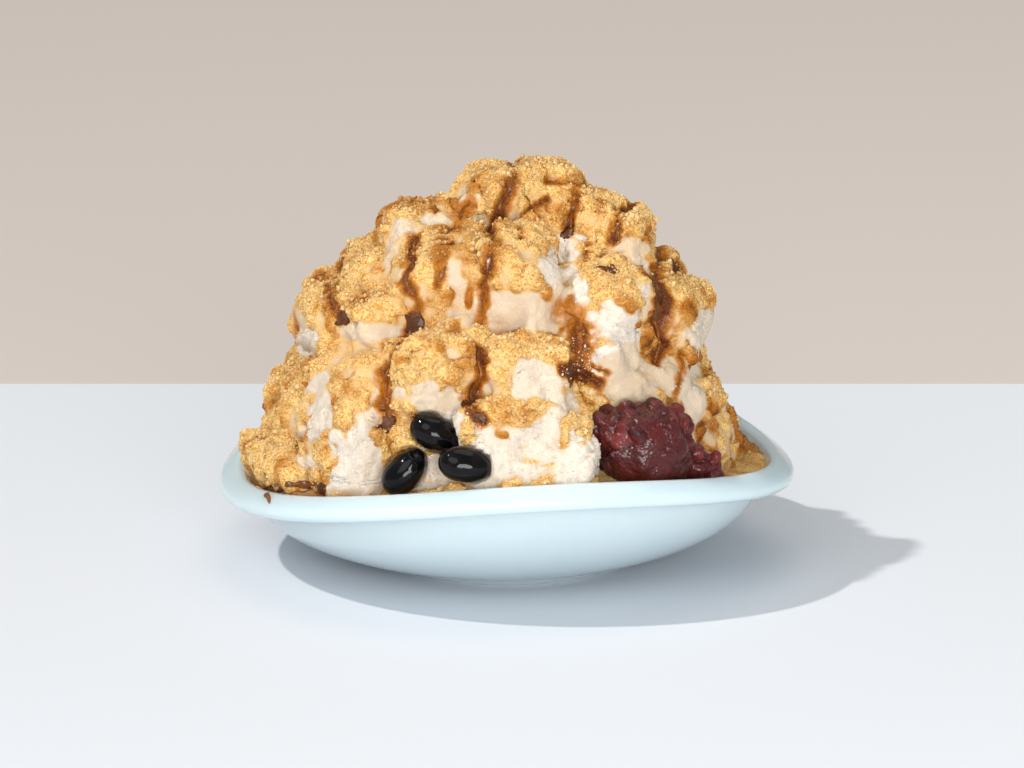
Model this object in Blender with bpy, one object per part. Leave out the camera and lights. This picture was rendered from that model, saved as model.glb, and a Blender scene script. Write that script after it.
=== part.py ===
"""Bowl of kakigori: a heap of shaved ice under roasted soybean flour and dark syrup, with sweet
bean paste and three black soybeans, in a shallow milk glass dish.

Metres, +Z up. The dish stands on z = 0 with its foot centred on the origin, and the front of the
dish, with the beans and the paste, faces -Y. Run with: blender --background --python part.py
"""

import math
from typing import NamedTuple

import bmesh
import bpy
import numpy as np
from mathutils import Euler, Matrix, Vector
from mathutils.bvhtree import BVHTree

# ---------------------------------------------------------------- driving dimensions: dish
RIM_RADIUS = 0.0953  # mean radius of the lip's nose, the widest line of the dish
RIM_HEIGHT = 0.0344  # mean height of the lip's nose above the table
RIM_FOURFOLD = 0.0009  # the plan is drawn out by this much four times round
RIM_FOURFOLD_AT = math.radians(61)
RIM_SWEEP = 0.0069  # the lip rises at the front and back and dips at the sides by this much
RIM_SWEEP_AT = math.radians(96)
RIM_TILT = 0.0022  # the right side stands this much higher than the mean
RIM_TILT_AT = math.radians(15)

NOSE_RADIUS = 0.0027  # rounding of the lip's outer edge
CREST_RADIUS = 0.0022  # rounding of the lip's top
CREST_INSET = 0.0062  # from the nose in to the crest's centre
CREST_RISE = 0.0029  # from the nose up to the crest's centre
BODY_INSET = 0.0125  # the body starts this far inside the nose, so the lip overhangs it
BODY_DROP = 0.0040
WALL_INSET = 0.0086  # the inner wall starts this far inside the nose
WALL_RISE = 0.0026
SHELF_INSET = 0.0102  # it drops to a shelf inside the lip, level with the nose ...
KNEE_INSET = 0.0158  # ... which ends at the knee, where the bowl turns down
KNEE_DROP = 0.0014
OVERHANG_SLOPE = 0.8  # above the lip the food widens outwards by this share of its rise

FOOT_RADIUS = 0.0400
FOOT_RING = 0.0060  # width of the ring that touches the table
FOOT_RECESS = 0.0014  # depth of the hollow inside the ring
FOOT_ROUNDING = 0.0003
BODY_START = Vector((0.0412, 0.0022))  # radius and height where the belly leaves the foot
FLOOR_START = Vector((0.0380, 0.0062))  # radius and height where the inner floor turns up
BOWL_POWER_LOW = 1.35  # the bowl's curve: flat near the foot ...
BOWL_POWER_HIGH = 2.05  # ... and steep under the lip
DISH_SEGMENTS = 44
BELLY_STEPS = 8
WALL_STEPS = 7
SEAT_WALL_STEPS = 2  # the food is cut clear of the lip and of this many steps of the wall
SEAT_DEPTH = 0.0050

# ---------------------------------------------------------------- driving dimensions: heap of ice
GOLDEN_ANGLE = math.pi * (3.0 - math.sqrt(5.0))  # spreads things evenly round a circle
GAP = 0.0003  # clear space between neighbouring pieces
SEAT_GROWTH = 0.00045  # a seat is cut this much larger than the faceted piece that lies in it
ICE_GAP = 0.0010  # clear space under the bed of ice, where the dish hides it
CORE_GAP = 0.0026  # clear space under the heap itself, which the bed surrounds
CORE_SLOPE = 0.6  # the heap's underside falls from the knee by this share, under the bed
HEAP_CENTRE = Vector((0.0, 0.0, 0.040))  # every point of the heap is seen from here
HEAP_GRID = 17  # squares along each side of the heap's mesh
HEAP_LOW_SHARE = 0.14  # share of that mesh that lies in the dish, below the centre
DOME_HALF_WIDTH = 0.0720
DOME_HALF_DEPTH = 0.0700
DOME_FOOT = 0.0220
DOME_TOP = 0.1170
DOME_POWER = 2.2
BED_DROP = 0.0006  # the bed of ice and flour round the heap lies this far below the wall's top
BED_SLOPE = 0.08  # and rises towards the heap by this share
BED_RINGS = 4
BED_STEPS = 4
BED_INNER = 0.0500  # the bed is only modelled outside this radius, the heap covers the rest
BLOCK_ROUNDING = 0.0070
BLEND = 0.0045  # the blocks melt into each other over this length
BLOCK_SLOPE = 0.30  # the blocks' tops fall this steeply away from the heap's middle
WARP = 0.0038  # the blocks are bent out of true by up to about this much
WARP_CELL = 0.0210
RELIEF = 0.0016
RELIEF_CELL = 0.0085
FINE_RELIEF = 0.0009
FINE_CELL = 0.0045
MARCH_START = 0.115
MARCH_STEPS = 150
BISECTIONS = 10


class Block(NamedTuple):
    """A rounded block of ice: its centre, its size and its turn about Z in degrees."""

    x: float
    y: float
    z: float
    width: float
    depth: float
    height: float
    turn: float


# The blocks that show from the front, from the crown down to the dish.
FRONT_BLOCKS = (
    Block(-0.0080, -0.005, 0.1210, 0.018, 0.026, 0.023, 8),  # crown, left knob
    Block(0.0115, -0.003, 0.1190, 0.024, 0.026, 0.024, -6),  # crown, right knob
    Block(0.0350, -0.010, 0.1080, 0.027, 0.028, 0.022, -14),  # upper right
    Block(0.0435, -0.008, 0.0950, 0.021, 0.028, 0.022, -14),  # right shoulder
    Block(-0.0265, -0.010, 0.1090, 0.023, 0.026, 0.022, 12),  # upper left
    Block(-0.0410, -0.010, 0.0925, 0.021, 0.030, 0.023, 16),  # left shoulder
    Block(-0.0525, -0.013, 0.0850, 0.026, 0.036, 0.022, 18),  # left
    Block(0.003, -0.037, 0.1010, 0.023, 0.026, 0.026, 2),  # centre panel
    Block(-0.022, -0.033, 0.0960, 0.030, 0.028, 0.027, 10),  # left of the panel
    Block(-0.041, -0.031, 0.0845, 0.026, 0.028, 0.027, 24),
    Block(0.034, -0.033, 0.0920, 0.024, 0.028, 0.026, -22),  # right of the panel
    Block(0.031, -0.043, 0.0790, 0.018, 0.028, 0.024, -18),
    Block(0.052, -0.012, 0.0790, 0.024, 0.036, 0.030, -16),  # right
    Block(-0.022, -0.050, 0.0765, 0.029, 0.032, 0.022, 12),  # middle ledge, left
    Block(0.009, -0.051, 0.0770, 0.027, 0.032, 0.020, -4),  # middle ledge, right
    Block(-0.044, -0.042, 0.0670, 0.027, 0.032, 0.023, 26),
    Block(0.003, -0.058, 0.0625, 0.037, 0.034, 0.017, 0),  # lower ledge
    Block(0.009, -0.062, 0.0490, 0.041, 0.042, 0.026, -3),  # front foot, between beans and paste
    Block(-0.022, -0.056, 0.0490, 0.030, 0.030, 0.024, 8),  # behind the beans
    Block(-0.047, -0.049, 0.0500, 0.029, 0.034, 0.032, 28),  # front left foot
    Block(-0.0625, -0.018, 0.0545, 0.024, 0.036, 0.022, 14),  # left foot, upper
    Block(-0.064, -0.028, 0.0360, 0.038, 0.046, 0.024, 18),  # left foot, lower
    Block(0.060, -0.014, 0.0485, 0.019, 0.034, 0.030, -12),  # right foot
    Block(0.066, -0.008, 0.0370, 0.019, 0.034, 0.022, -8),
)

# The blocks at the back and sides, set in rings by a rule.
BACK_RINGS = ((0.038, 7), (0.055, 7), (0.072, 6), (0.088, 5), (0.102, 3))  # height, count
BACK_FROM = math.radians(20)  # azimuths counted from +X, round the back
BACK_TO = math.radians(168)
BACK_WIDTH = (0.020, 0.032)
BACK_HEIGHT = (0.018, 0.026)
BACK_DEPTH = 0.034
BACK_PROUD = (-0.001, 0.006)  # how far a block stands out of the dome
BACK_LIFT = 0.006  # a block lies up to this much above or below its ring
BACK_TURN = 14  # and is turned by up to this many degrees
BACK_STAGGER = 0.5  # every other ring is moved round by this share of a block's step
BACK_JITTER = 0.15  # each block is moved round by up to this share
BACK_MARGIN = 0.25  # and the first one starts after this share
BACK_SEED = 11

# ---------------------------------------------------------------- driving dimensions: toppings


class Bean(NamedTuple):
    """A black soybean: where its middle is, its turns about X, Y and Z in degrees, its length."""

    place: tuple
    turns: tuple
    length: float


BEANS = (
    Bean((-0.0228, -0.0705, 0.0588), (10, 28, -8), 0.0165),
    Bean((-0.0322, -0.0725, 0.0466), (20, -48, 6), 0.0175),
    Bean((-0.0130, -0.0812, 0.0511), (15, 12, 6), 0.0172),
)
BEAN_WIDTH = 0.0128
BEAN_THICKNESS = 0.0122
BEAN_TAPER = 0.16  # one end is this much slimmer
BEAN_PLUMPNESS = 0.92  # below 1 the ends are blunter than an ellipsoid's
BEAN_RINGS = 8
BEAN_SIDES = 12



class Lump(NamedTuple):
    """A soft lump of bean paste: its middle and its half sizes."""

    place: tuple
    size: tuple


# The main heap comes first, and the small heap beside it last.
PASTE_LUMPS = (
    Lump((0.0435, -0.0585, 0.0510), (0.0152, 0.0136, 0.0145)),
    Lump((0.0350, -0.0590, 0.0560), (0.0085, 0.0085, 0.0080)),  # left shoulder
    Lump((0.0520, -0.0540, 0.0535), (0.0080, 0.0085, 0.0082)),  # right shoulder
    Lump((0.0515, -0.0545, 0.0452), (0.0095, 0.0103, 0.0088)),  # right foot
    Lump((0.0585, -0.0485, 0.0420), (0.0092, 0.0078, 0.0068)),
)
PASTE_BEAN = Vector((0.0042, 0.0030, 0.0029))  # half sizes of an adzuki bean in the paste
PASTE_BEANS = 26
PASTE_LOWEST = -0.35  # the lowest beans lie at this share of the heap's half height
PASTE_LOBE_EVERY = 6  # one bean in this many lies on the small heap
PASTE_SWELL = (0.8, 1.15)  # least and greatest size of a bean
PASTE_JITTER = 0.3  # a bean is moved round by up to this many radians
PASTE_ROUGHNESS = 0.07
PASTE_CLEARANCE = 0.0010  # a bean nearer than this to the ice or the dish is left out
PASTE_SUNK = 0.95  # the beans' middles lie at this share of the way out to the surface
PASTE_SEED = 5

# ---------------------------------------------------------------- driving dimensions: syrup, flour


class Run(NamedTuple):
    """A run of syrup on the front of the heap: x and z at its start, middle and end, its radius."""

    start: tuple
    middle: tuple
    end: tuple
    radius: float


RUNS = (
    Run((0.003, 0.129), (-0.004, 0.115), (-0.009, 0.093), 0.0014),
    Run((-0.017, 0.120), (-0.021, 0.110), (-0.022, 0.099), 0.0015),
    Run((-0.030, 0.113), (-0.032, 0.101), (-0.029, 0.093), 0.0016),
    Run((-0.032, 0.089), (-0.037, 0.080), (-0.039, 0.066), 0.0016),
    Run((-0.051, 0.105), (-0.054, 0.096), (-0.053, 0.089), 0.0015),
    Run((-0.009, 0.088), (-0.009, 0.078), (-0.010, 0.071), 0.0016),
    Run((0.021, 0.128), (0.022, 0.122), (0.020, 0.117), 0.0014),
    Run((0.042, 0.120), (0.036, 0.118), (0.035, 0.112), 0.0014),
    Run((0.020, 0.099), (0.024, 0.092), (0.021, 0.083), 0.0020),
    Run((0.050, 0.107), (0.048, 0.096), (0.048, 0.083), 0.0022),
    Run((0.057, 0.080), (0.056, 0.075), (0.053, 0.070), 0.0013),
)
RUN_STEPS = 7
RUN_SUNK = 0.35  # a run's middle lies this share of its radius under the heap's skin
RUN_SIDES_RESOLUTION = 0  # a bevel with four sides
CLUMPS = 26
CLUMP_STRETCH = Vector((1.25, 0.95, 0.75))
CLUMP_ROUGHNESS = 0.2
CLUMP_RADIUS = (0.0018, 0.0034)
CLUMP_REACH = 0.070  # clumps lie no further out than this
CLUMP_LOWEST = 0.062
CLUMP_SEED = 23
CLUMP_FLATNESS = 0.45  # a clump rests where the surface faces up at least this much

# ---------------------------------------------------------------- materials


def make_material(name, colour, roughness, transmission=0.0):
    """Makes a Principled material of one colour."""
    material = bpy.data.materials.new(name)
    material.use_nodes = True
    shader = material.node_tree.nodes["Principled BSDF"]
    shader.inputs["Base Color"].default_value = (*colour, 1.0)
    shader.inputs["Roughness"].default_value = roughness
    shader.inputs["Metallic"].default_value = 0.0
    shader.inputs["Transmission Weight"].default_value = transmission
    material.diffuse_color = (*colour, 1.0)
    return material


# ---------------------------------------------------------------- shared shape functions


def rim_radius(azimuth):
    """Radius of the lip's nose at an azimuth."""
    return RIM_RADIUS + RIM_FOURFOLD * np.cos(4 * (azimuth - RIM_FOURFOLD_AT))


def rim_height(azimuth):
    """Height of the lip's nose at an azimuth."""
    sweep = RIM_SWEEP * np.cos(2 * (azimuth - RIM_SWEEP_AT))
    tilt = RIM_TILT * np.cos(azimuth - RIM_TILT_AT)
    return RIM_HEIGHT + sweep + tilt


def bowl_rise(fraction):
    """Share of the height reached at a share of the way out from the foot to the lip."""
    return 1.0 - (1.0 - fraction**BOWL_POWER_LOW) ** (1.0 / BOWL_POWER_HIGH)


def inner_wall_top(azimuth):
    """Radius and height at which the inner wall meets the lip."""
    return rim_radius(azimuth) - WALL_INSET, rim_height(azimuth) + WALL_RISE


def shelf(azimuth):
    """Radius and height of the outer end of the shelf inside the lip."""
    return rim_radius(azimuth) - SHELF_INSET, rim_height(azimuth)


def knee(azimuth):
    """Radius and height of the knee, where the shelf ends and the bowl turns down."""
    return rim_radius(azimuth) - KNEE_INSET, rim_height(azimuth) - KNEE_DROP


def share_between(value, low, high):
    """How far a value lies on the way from low to high, kept between 0 and 1."""
    return np.clip((value - low) / (high - low), 0.0, 1.0)


def inner_surface(radius, azimuth):
    """Height of the dish's inner surface at a radius and an azimuth."""
    wall_radius, wall_height = inner_wall_top(azimuth)
    shelf_radius, shelf_height = shelf(azimuth)
    knee_radius, knee_height = knee(azimuth)
    bowl = bowl_rise(share_between(radius, FLOOR_START.x, knee_radius))
    height = FLOOR_START.y + (knee_height - FLOOR_START.y) * bowl
    height = height + (shelf_height - knee_height) * share_between(radius, knee_radius, shelf_radius)
    return height + (wall_height - shelf_height) * share_between(radius, shelf_radius, wall_radius)


def lattice_noise(points, cell, seed):
    """Smooth noise between -1 and 1 over points, from random values on a lattice."""
    scaled = points / cell
    base = np.floor(scaled).astype(np.int64)
    part = scaled - base
    part = part * part * (3.0 - 2.0 * part)
    total = np.zeros(len(points))
    for corner in np.ndindex(2, 2, 2):
        node = base + np.array(corner)
        mixed = node[:, 0] * 73856093 ^ node[:, 1] * 19349663 ^ node[:, 2] * 83492791 ^ seed * 2654435
        mixed = (mixed ^ (mixed >> 13)) * 1274126177 & 0x7FFFFFFF
        value = ((mixed ^ (mixed >> 16)) & 0xFFFF) / 32767.5 - 1.0
        share = np.ones(len(points))
        for axis in range(3):
            share = share * (part[:, axis] if corner[axis] else 1.0 - part[:, axis])
        total += value * share
    return total


def smooth_union(first, second, blend):
    """Joins two distance fields, melted together over the length blend."""
    mix = np.clip(0.5 + 0.5 * (second - first) / blend, 0.0, 1.0)
    return second * (1.0 - mix) + first * mix - blend * mix * (1.0 - mix)


# ---------------------------------------------------------------- mesh helpers


def mesh_object(name, vertices, faces, material):
    """Makes an object from vertices and faces, triangulated, its faces turned outwards."""
    mesh = bpy.data.meshes.new(name)
    mesh.from_pydata([tuple(v) for v in vertices], [], faces)
    work = bmesh.new()
    work.from_mesh(mesh)
    bmesh.ops.triangulate(work, faces=[face for face in work.faces if len(face.verts) == 4])
    bmesh.ops.recalc_face_normals(work, faces=work.faces)
    work.to_mesh(mesh)
    work.free()
    mesh.materials.append(material)
    item = bpy.data.objects.new(name, mesh)
    bpy.context.scene.collection.objects.link(item)
    return item


def shade_smooth(item, sharp_angle=40):
    """Shades an object smooth, with sharp edges past an angle in degrees."""
    item.data.shade_smooth()
    item.data.set_sharp_from_angle(angle=math.radians(sharp_angle))


def apply_boolean(item, operation, collection, solver="EXACT"):
    """Joins or cuts an object with a collection of pieces, applies it and removes the pieces."""
    modifier = item.modifiers.new(operation.title(), "BOOLEAN")
    modifier.operation = operation
    modifier.operand_type = "COLLECTION"
    modifier.collection = collection
    modifier.solver = solver
    graph = bpy.context.evaluated_depsgraph_get()
    mesh = bpy.data.meshes.new_from_object(item.evaluated_get(graph))
    item.modifiers.remove(modifier)
    item.data = mesh
    for piece in list(collection.objects):
        bpy.data.objects.remove(piece)
    bpy.data.collections.remove(collection)


def new_collection(name):
    """Makes a collection in the scene for pieces that a Boolean uses."""
    collection = bpy.data.collections.new(name)
    bpy.context.scene.collection.children.link(collection)
    return collection


def move_to(item, collection):
    """Moves an object from the scene's own collection into another."""
    bpy.context.scene.collection.objects.unlink(item)
    collection.objects.link(item)


def keep_largest_body(item):
    """Drops any loose scrap, and any inner skin, that a Boolean left beside the main body."""
    work = bmesh.new()
    work.from_mesh(item.data)
    unseen = set(work.verts)
    bodies = []
    while unseen:
        body = {unseen.pop()}
        front = list(body)
        while front:
            for edge in front.pop().link_edges:
                for vertex in edge.verts:
                    if vertex in unseen:
                        unseen.remove(vertex)
                        body.add(vertex)
                        front.append(vertex)
        bodies.append(body)
    largest = max(bodies, key=len)
    scraps = [vertex for body in bodies if body is not largest for vertex in body]
    bmesh.ops.delete(work, geom=scraps, context="VERTS")
    bmesh.ops.triangulate(work, faces=work.faces)
    work.to_mesh(item.data)
    work.free()


# ---------------------------------------------------------------- dish


def lip_profile(azimuth, grow=0.0):
    """The lip's section at an azimuth, from under its nose over its crest, grown by a length."""
    radius = rim_radius(azimuth)
    height = rim_height(azimuth)
    section = []
    nose = Vector((radius - NOSE_RADIUS, height))
    for angle in np.radians((-100, -60, -25, 5, 35)):
        reach = NOSE_RADIUS + grow
        section.append((nose.x + reach * np.cos(angle), nose.y + reach * np.sin(angle)))
    crest = Vector((radius - CREST_INSET, height + CREST_RISE))
    for angle in np.radians((45, 85, 125, 165)):
        reach = CREST_RADIUS + grow
        section.append((crest.x + reach * np.cos(angle), crest.y + reach * np.sin(angle)))
    return section


def wall_profile(azimuth, steps, grow=0.0):
    """The inner wall's section from the lip over the shelf, and the first steps of the bowl."""
    section = [inner_wall_top(azimuth), shelf(azimuth)]
    knee_radius, _ = knee(azimuth)
    for step in range(steps + 1):
        fraction = math.cos(math.pi / 2 * step / WALL_STEPS)
        out = FLOOR_START.x + (knee_radius - FLOOR_START.x) * fraction
        section.append((out, float(inner_surface(out, azimuth))))
    return [(radius - grow, height + grow) for radius, height in section]


def dish_profile(azimuth):
    """The dish's section at an azimuth, from under the foot over the lip to the inner floor."""
    section = [
        (FOOT_RADIUS - FOOT_RING - FOOT_RECESS, FOOT_RECESS),
        (FOOT_RADIUS - FOOT_RING, 0.0),
        (FOOT_RADIUS, 0.0),
        ((FOOT_RADIUS + BODY_START.x) / 2 + FOOT_ROUNDING, BODY_START.y / 2),
    ]
    body_top = Vector((rim_radius(azimuth) - BODY_INSET, rim_height(azimuth) - BODY_DROP))
    for step in range(BELLY_STEPS + 1):
        fraction = math.sin(math.pi / 2 * step / BELLY_STEPS)
        out = BODY_START.x + (body_top.x - BODY_START.x) * fraction
        section.append((out, BODY_START.y + (body_top.y - BODY_START.y) * bowl_rise(fraction)))
    section += lip_profile(azimuth)
    section += wall_profile(azimuth, WALL_STEPS)
    return section


def lip_seat_profile(azimuth):
    """The closed section of the ring that clears the food from the lip and the wall under it."""
    section = lip_profile(azimuth, SEAT_GROWTH)[1:]
    section += wall_profile(azimuth, SEAT_WALL_STEPS, SEAT_GROWTH)
    radius, height = section[-1]
    section.append((radius + SEAT_DEPTH, height))
    return section


def carried_round(profile, closed, turn=0.0):
    """Vertices and faces of a section carried round the foot.

    A closed section makes a ring. The ends of an open one are closed with a flat face each. The
    turn, in segments, moves the ring's corners round.
    """
    vertices = []
    for segment in range(DISH_SEGMENTS):
        azimuth = 2 * math.pi * (segment + turn) / DISH_SEGMENTS
        for radius, height in profile(azimuth):
            vertices.append((radius * math.cos(azimuth), radius * math.sin(azimuth), height))
    count = len(vertices) // DISH_SEGMENTS
    faces = []
    for segment in range(DISH_SEGMENTS):
        here = segment * count
        following = (segment + 1) % DISH_SEGMENTS * count
        for row in range(count if closed else count - 1):
            up = (row + 1) % count
            faces.append((here + row, following + row, following + up, here + up))
    if not closed:
        faces.append([segment * count for segment in reversed(range(DISH_SEGMENTS))])
        faces.append([segment * count + count - 1 for segment in range(DISH_SEGMENTS)])
    return vertices, faces


def build_dish(material):
    """Builds the dish."""
    dish = mesh_object("dish", *carried_round(dish_profile, closed=False), material)
    shade_smooth(dish, 50)
    return dish


# ---------------------------------------------------------------- beans and bean paste


def bean_matrix(bean):
    """Where a black soybean lies and how it is turned."""
    turns = Euler([math.radians(turn) for turn in bean.turns])
    return Matrix.LocRotScale(Vector(bean.place), turns, None)


def bean_shape(bean, grow=0.0):
    """Vertices and faces of a black soybean, plump, one end slimmer, grown by a length."""
    place = bean_matrix(bean)
    half = Vector((bean.length, BEAN_WIDTH, BEAN_THICKNESS)) / 2
    vertices = [place @ Vector((-half.x - grow, 0.0, 0.0))]
    for ring in range(1, BEAN_RINGS):
        angle = math.pi * ring / BEAN_RINGS
        along = -math.cos(angle)
        girth = math.sin(angle) ** BEAN_PLUMPNESS * (1.0 - BEAN_TAPER * (along + 1.0) / 2)
        for side in range(BEAN_SIDES):
            turn = 2 * math.pi * side / BEAN_SIDES
            across = (half.y * girth + grow) * math.cos(turn)
            up = (half.z * girth + grow) * math.sin(turn)
            vertices.append(place @ Vector(((half.x + grow) * along, across, up)))
    vertices.append(place @ Vector((half.x + grow, 0.0, 0.0)))
    last = len(vertices) - 1
    faces = []
    for side in range(BEAN_SIDES):
        following = (side + 1) % BEAN_SIDES
        faces.append((0, 1 + following, 1 + side))
        for ring in range(BEAN_RINGS - 2):
            row = 1 + ring * BEAN_SIDES
            faces.append((row + side, row + following, row + following + BEAN_SIDES, row + side + BEAN_SIDES))
        row = 1 + (BEAN_RINGS - 2) * BEAN_SIDES
        faces.append((row + side, row + following, last))
    return vertices, faces


def build_black_beans(material):
    """Builds the three black soybeans."""
    for number, bean in enumerate(BEANS, start=1):
        shade_smooth(mesh_object(f"black_bean_{number}", *bean_shape(bean), material))


def blob(name, place, size, subdivisions, material, roughness=0.0, turn=0.0, seed=0):
    """Makes an ellipsoid from an icosphere, its surface moved by noise."""
    work = bmesh.new()
    bmesh.ops.create_icosphere(work, subdivisions=subdivisions, radius=1.0)
    spin = Matrix.Rotation(turn, 3, "Z")
    for vertex in work.verts:
        direction = np.array([vertex.co])
        swell = 1.0 + roughness * float(lattice_noise(direction + 7.0, 0.55, seed)[0])
        stretched = Vector([a * b * swell for a, b in zip(vertex.co, size)])
        vertex.co = Vector(place) + spin @ stretched
    mesh = bpy.data.meshes.new(name)
    work.to_mesh(mesh)
    work.free()
    mesh.materials.append(material)
    item = bpy.data.objects.new(name, mesh)
    bpy.context.scene.collection.objects.link(item)
    return item


def paste_beans():
    """Where the adzuki beans that show on the two heaps lie: place, turn and swell of each."""
    draw = np.random.default_rng(PASTE_SEED)
    for number in range(PASTE_BEANS):
        share = (number + 0.5) / PASTE_BEANS
        lift = 1.0 - (1.0 - PASTE_LOWEST) * share
        azimuth = number * GOLDEN_ANGLE + draw.uniform(-PASTE_JITTER, PASTE_JITTER)
        level = math.sqrt(max(0.0, 1.0 - lift * lift))
        direction = Vector((level * math.cos(azimuth), level * math.sin(azimuth), lift))
        heap = PASTE_LUMPS[-1 if number % PASTE_LOBE_EVERY == PASTE_LOBE_EVERY - 1 else 0]
        surface = [a * b * PASTE_SUNK for a, b in zip(direction, heap.size)]
        yield Vector(heap.place) + Vector(surface), draw.uniform(0, math.pi), draw.uniform(*PASTE_SWELL)


def inside_dish(place, reach):
    """True where a piece of a given reach stays clear of the dish's inner wall."""
    azimuth = math.atan2(place.y, place.x)
    radius = math.hypot(place.x, place.y)
    wall_radius, wall_height = inner_wall_top(azimuth)
    if radius + reach > wall_radius - GAP and place.z - reach < wall_height + CREST_RADIUS * 2:
        return False
    return place.z - reach > float(inner_surface(min(radius + reach, wall_radius), azimuth))


def paste_lumps(names, material, grow=0.0):
    """Makes the smooth lumps that the paste's beans lie on, each grown by a length."""
    lumps = []
    for number, (place, size) in enumerate(PASTE_LUMPS):
        half = Vector(size) + Vector((grow, grow, grow))
        finer = 2 if number else 3
        lumps.append(blob(f"{names}_{number}", place, half, finer, material, PASTE_ROUGHNESS, 0.0, number))
    return lumps


def build_bean_paste(material):
    """Builds the heap of sweet bean paste with the adzuki beans that show on it."""
    paste, *others = paste_lumps("lump", material)
    paste.name = "bean_paste"
    pieces = new_collection("paste_pieces")
    for lump in others:
        move_to(lump, pieces)
    blocks = [*FRONT_BLOCKS, *back_blocks()]
    for number, (place, turn, swell) in enumerate(paste_beans()):
        reach = PASTE_BEAN.x * swell + PASTE_CLEARANCE
        if not inside_dish(place, reach) or heap_distance(np.array([place]), blocks)[0] < reach:
            continue
        bean = blob(f"adzuki_{number}", place, PASTE_BEAN * swell, 1, material, 0.0, turn)
        move_to(bean, pieces)
    apply_boolean(paste, "UNION", pieces)
    keep_largest_body(paste)
    shade_smooth(paste, 60)
    return paste


# ---------------------------------------------------------------- heap of shaved ice


def back_blocks():
    """The blocks at the back and sides, ring by ring, of uneven size."""
    draw = np.random.default_rng(BACK_SEED)
    for level, (height, count) in enumerate(BACK_RINGS):
        share = (height - DOME_FOOT) / (DOME_TOP - DOME_FOOT)
        reach = math.sqrt(1.0 - share**DOME_POWER)
        for number in range(count):
            step = (number + BACK_STAGGER * (level % 2) + draw.uniform(-BACK_JITTER, BACK_JITTER)) / count
            share_round = min(max(step + BACK_MARGIN / count, 0.0), 1.0)
            azimuth = BACK_FROM + (BACK_TO - BACK_FROM) * share_round
            width = draw.uniform(*BACK_WIDTH)
            tall = draw.uniform(*BACK_HEIGHT)
            sunk = 0.5 * BACK_DEPTH - draw.uniform(*BACK_PROUD)
            yield Block(
                (DOME_HALF_WIDTH * reach - sunk) * math.cos(azimuth),
                (DOME_HALF_DEPTH * reach - sunk) * math.sin(azimuth),
                height + draw.uniform(-BACK_LIFT, BACK_LIFT),
                width,
                BACK_DEPTH,
                tall,
                math.degrees(azimuth) - 90 + draw.uniform(-BACK_TURN, BACK_TURN),
            )


def block_distance(points, block):
    """Rough distance from points to a rounded block whose top falls away outwards."""
    turn = math.radians(block.turn)
    x = points[:, 0] - block.x
    y = points[:, 1] - block.y
    outward = np.hypot(points[:, 0], points[:, 1]) - math.hypot(block.x, block.y)
    local = np.stack(
        [
            x * math.cos(turn) + y * math.sin(turn),
            y * math.cos(turn) - x * math.sin(turn),
            points[:, 2] - block.z + BLOCK_SLOPE * outward,
        ],
        axis=1,
    )
    half = np.array((block.width, block.depth, block.height)) / 2 - BLOCK_ROUNDING
    beyond = np.abs(local) - half
    outside = np.linalg.norm(np.maximum(beyond, 0.0), axis=1)
    return outside + np.minimum(beyond.max(axis=1), 0.0) - BLOCK_ROUNDING


def dome_distance(points):
    """Rough distance from points to the dome that the blocks stand out of."""
    share = np.clip((points[:, 2] - DOME_FOOT) / (DOME_TOP - DOME_FOOT), 0.0, 1.2)
    level = (np.hypot(points[:, 0] / DOME_HALF_WIDTH, points[:, 1] / DOME_HALF_DEPTH)) ** 2
    fullness = np.sqrt(level + share**DOME_POWER)
    return (fullness - 1.0) * DOME_HALF_DEPTH


def bed_surface(radius, azimuth):
    """Height of the bed round the heap at a radius and an azimuth."""
    wall_radius, wall_height = inner_wall_top(azimuth)
    return wall_height - BED_DROP + BED_SLOPE * (wall_radius - radius)


def dish_limit(points, radius, azimuth):
    """How far points lie outside the space that the dish leaves for the food."""
    wall_radius, wall_height = inner_wall_top(azimuth)
    knee_radius, knee_height = knee(azimuth)
    under_bed = knee_height - CORE_SLOPE * (knee_radius - np.minimum(radius, knee_radius))
    floor = np.maximum(inner_surface(radius, azimuth), under_bed) + CORE_GAP - points[:, 2]
    above = points[:, 2] - (wall_height + CREST_RADIUS + ICE_GAP)
    overhang = np.clip(OVERHANG_SLOPE * above, 0.0, WALL_INSET - CREST_INSET)
    side = radius - (wall_radius - CORE_GAP) - overhang
    return np.maximum(np.where(above < 0.0, floor, -1.0), side)


def warped(points):
    """The points moved by smooth noise, which bends the blocks out of true."""
    shift = [lattice_noise(points, WARP_CELL, seed) for seed in (3, 4, 5)]
    return points + WARP * np.stack(shift, axis=1)


def heap_distance(points, blocks):
    """Rough distance from points to the heap, its blocks melted together and roughened."""
    bent = warped(points)
    heap = dome_distance(bent)
    for block in blocks:
        heap = smooth_union(heap, block_distance(bent, block), BLEND)
    heap = heap - RELIEF * lattice_noise(points, RELIEF_CELL, 1)
    heap = heap - FINE_RELIEF * lattice_noise(points, FINE_CELL, 2)
    radius = np.hypot(points[:, 0], points[:, 1])
    azimuth = np.arctan2(points[:, 1], points[:, 0])
    return np.maximum(heap, dish_limit(points, radius, azimuth))


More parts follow.
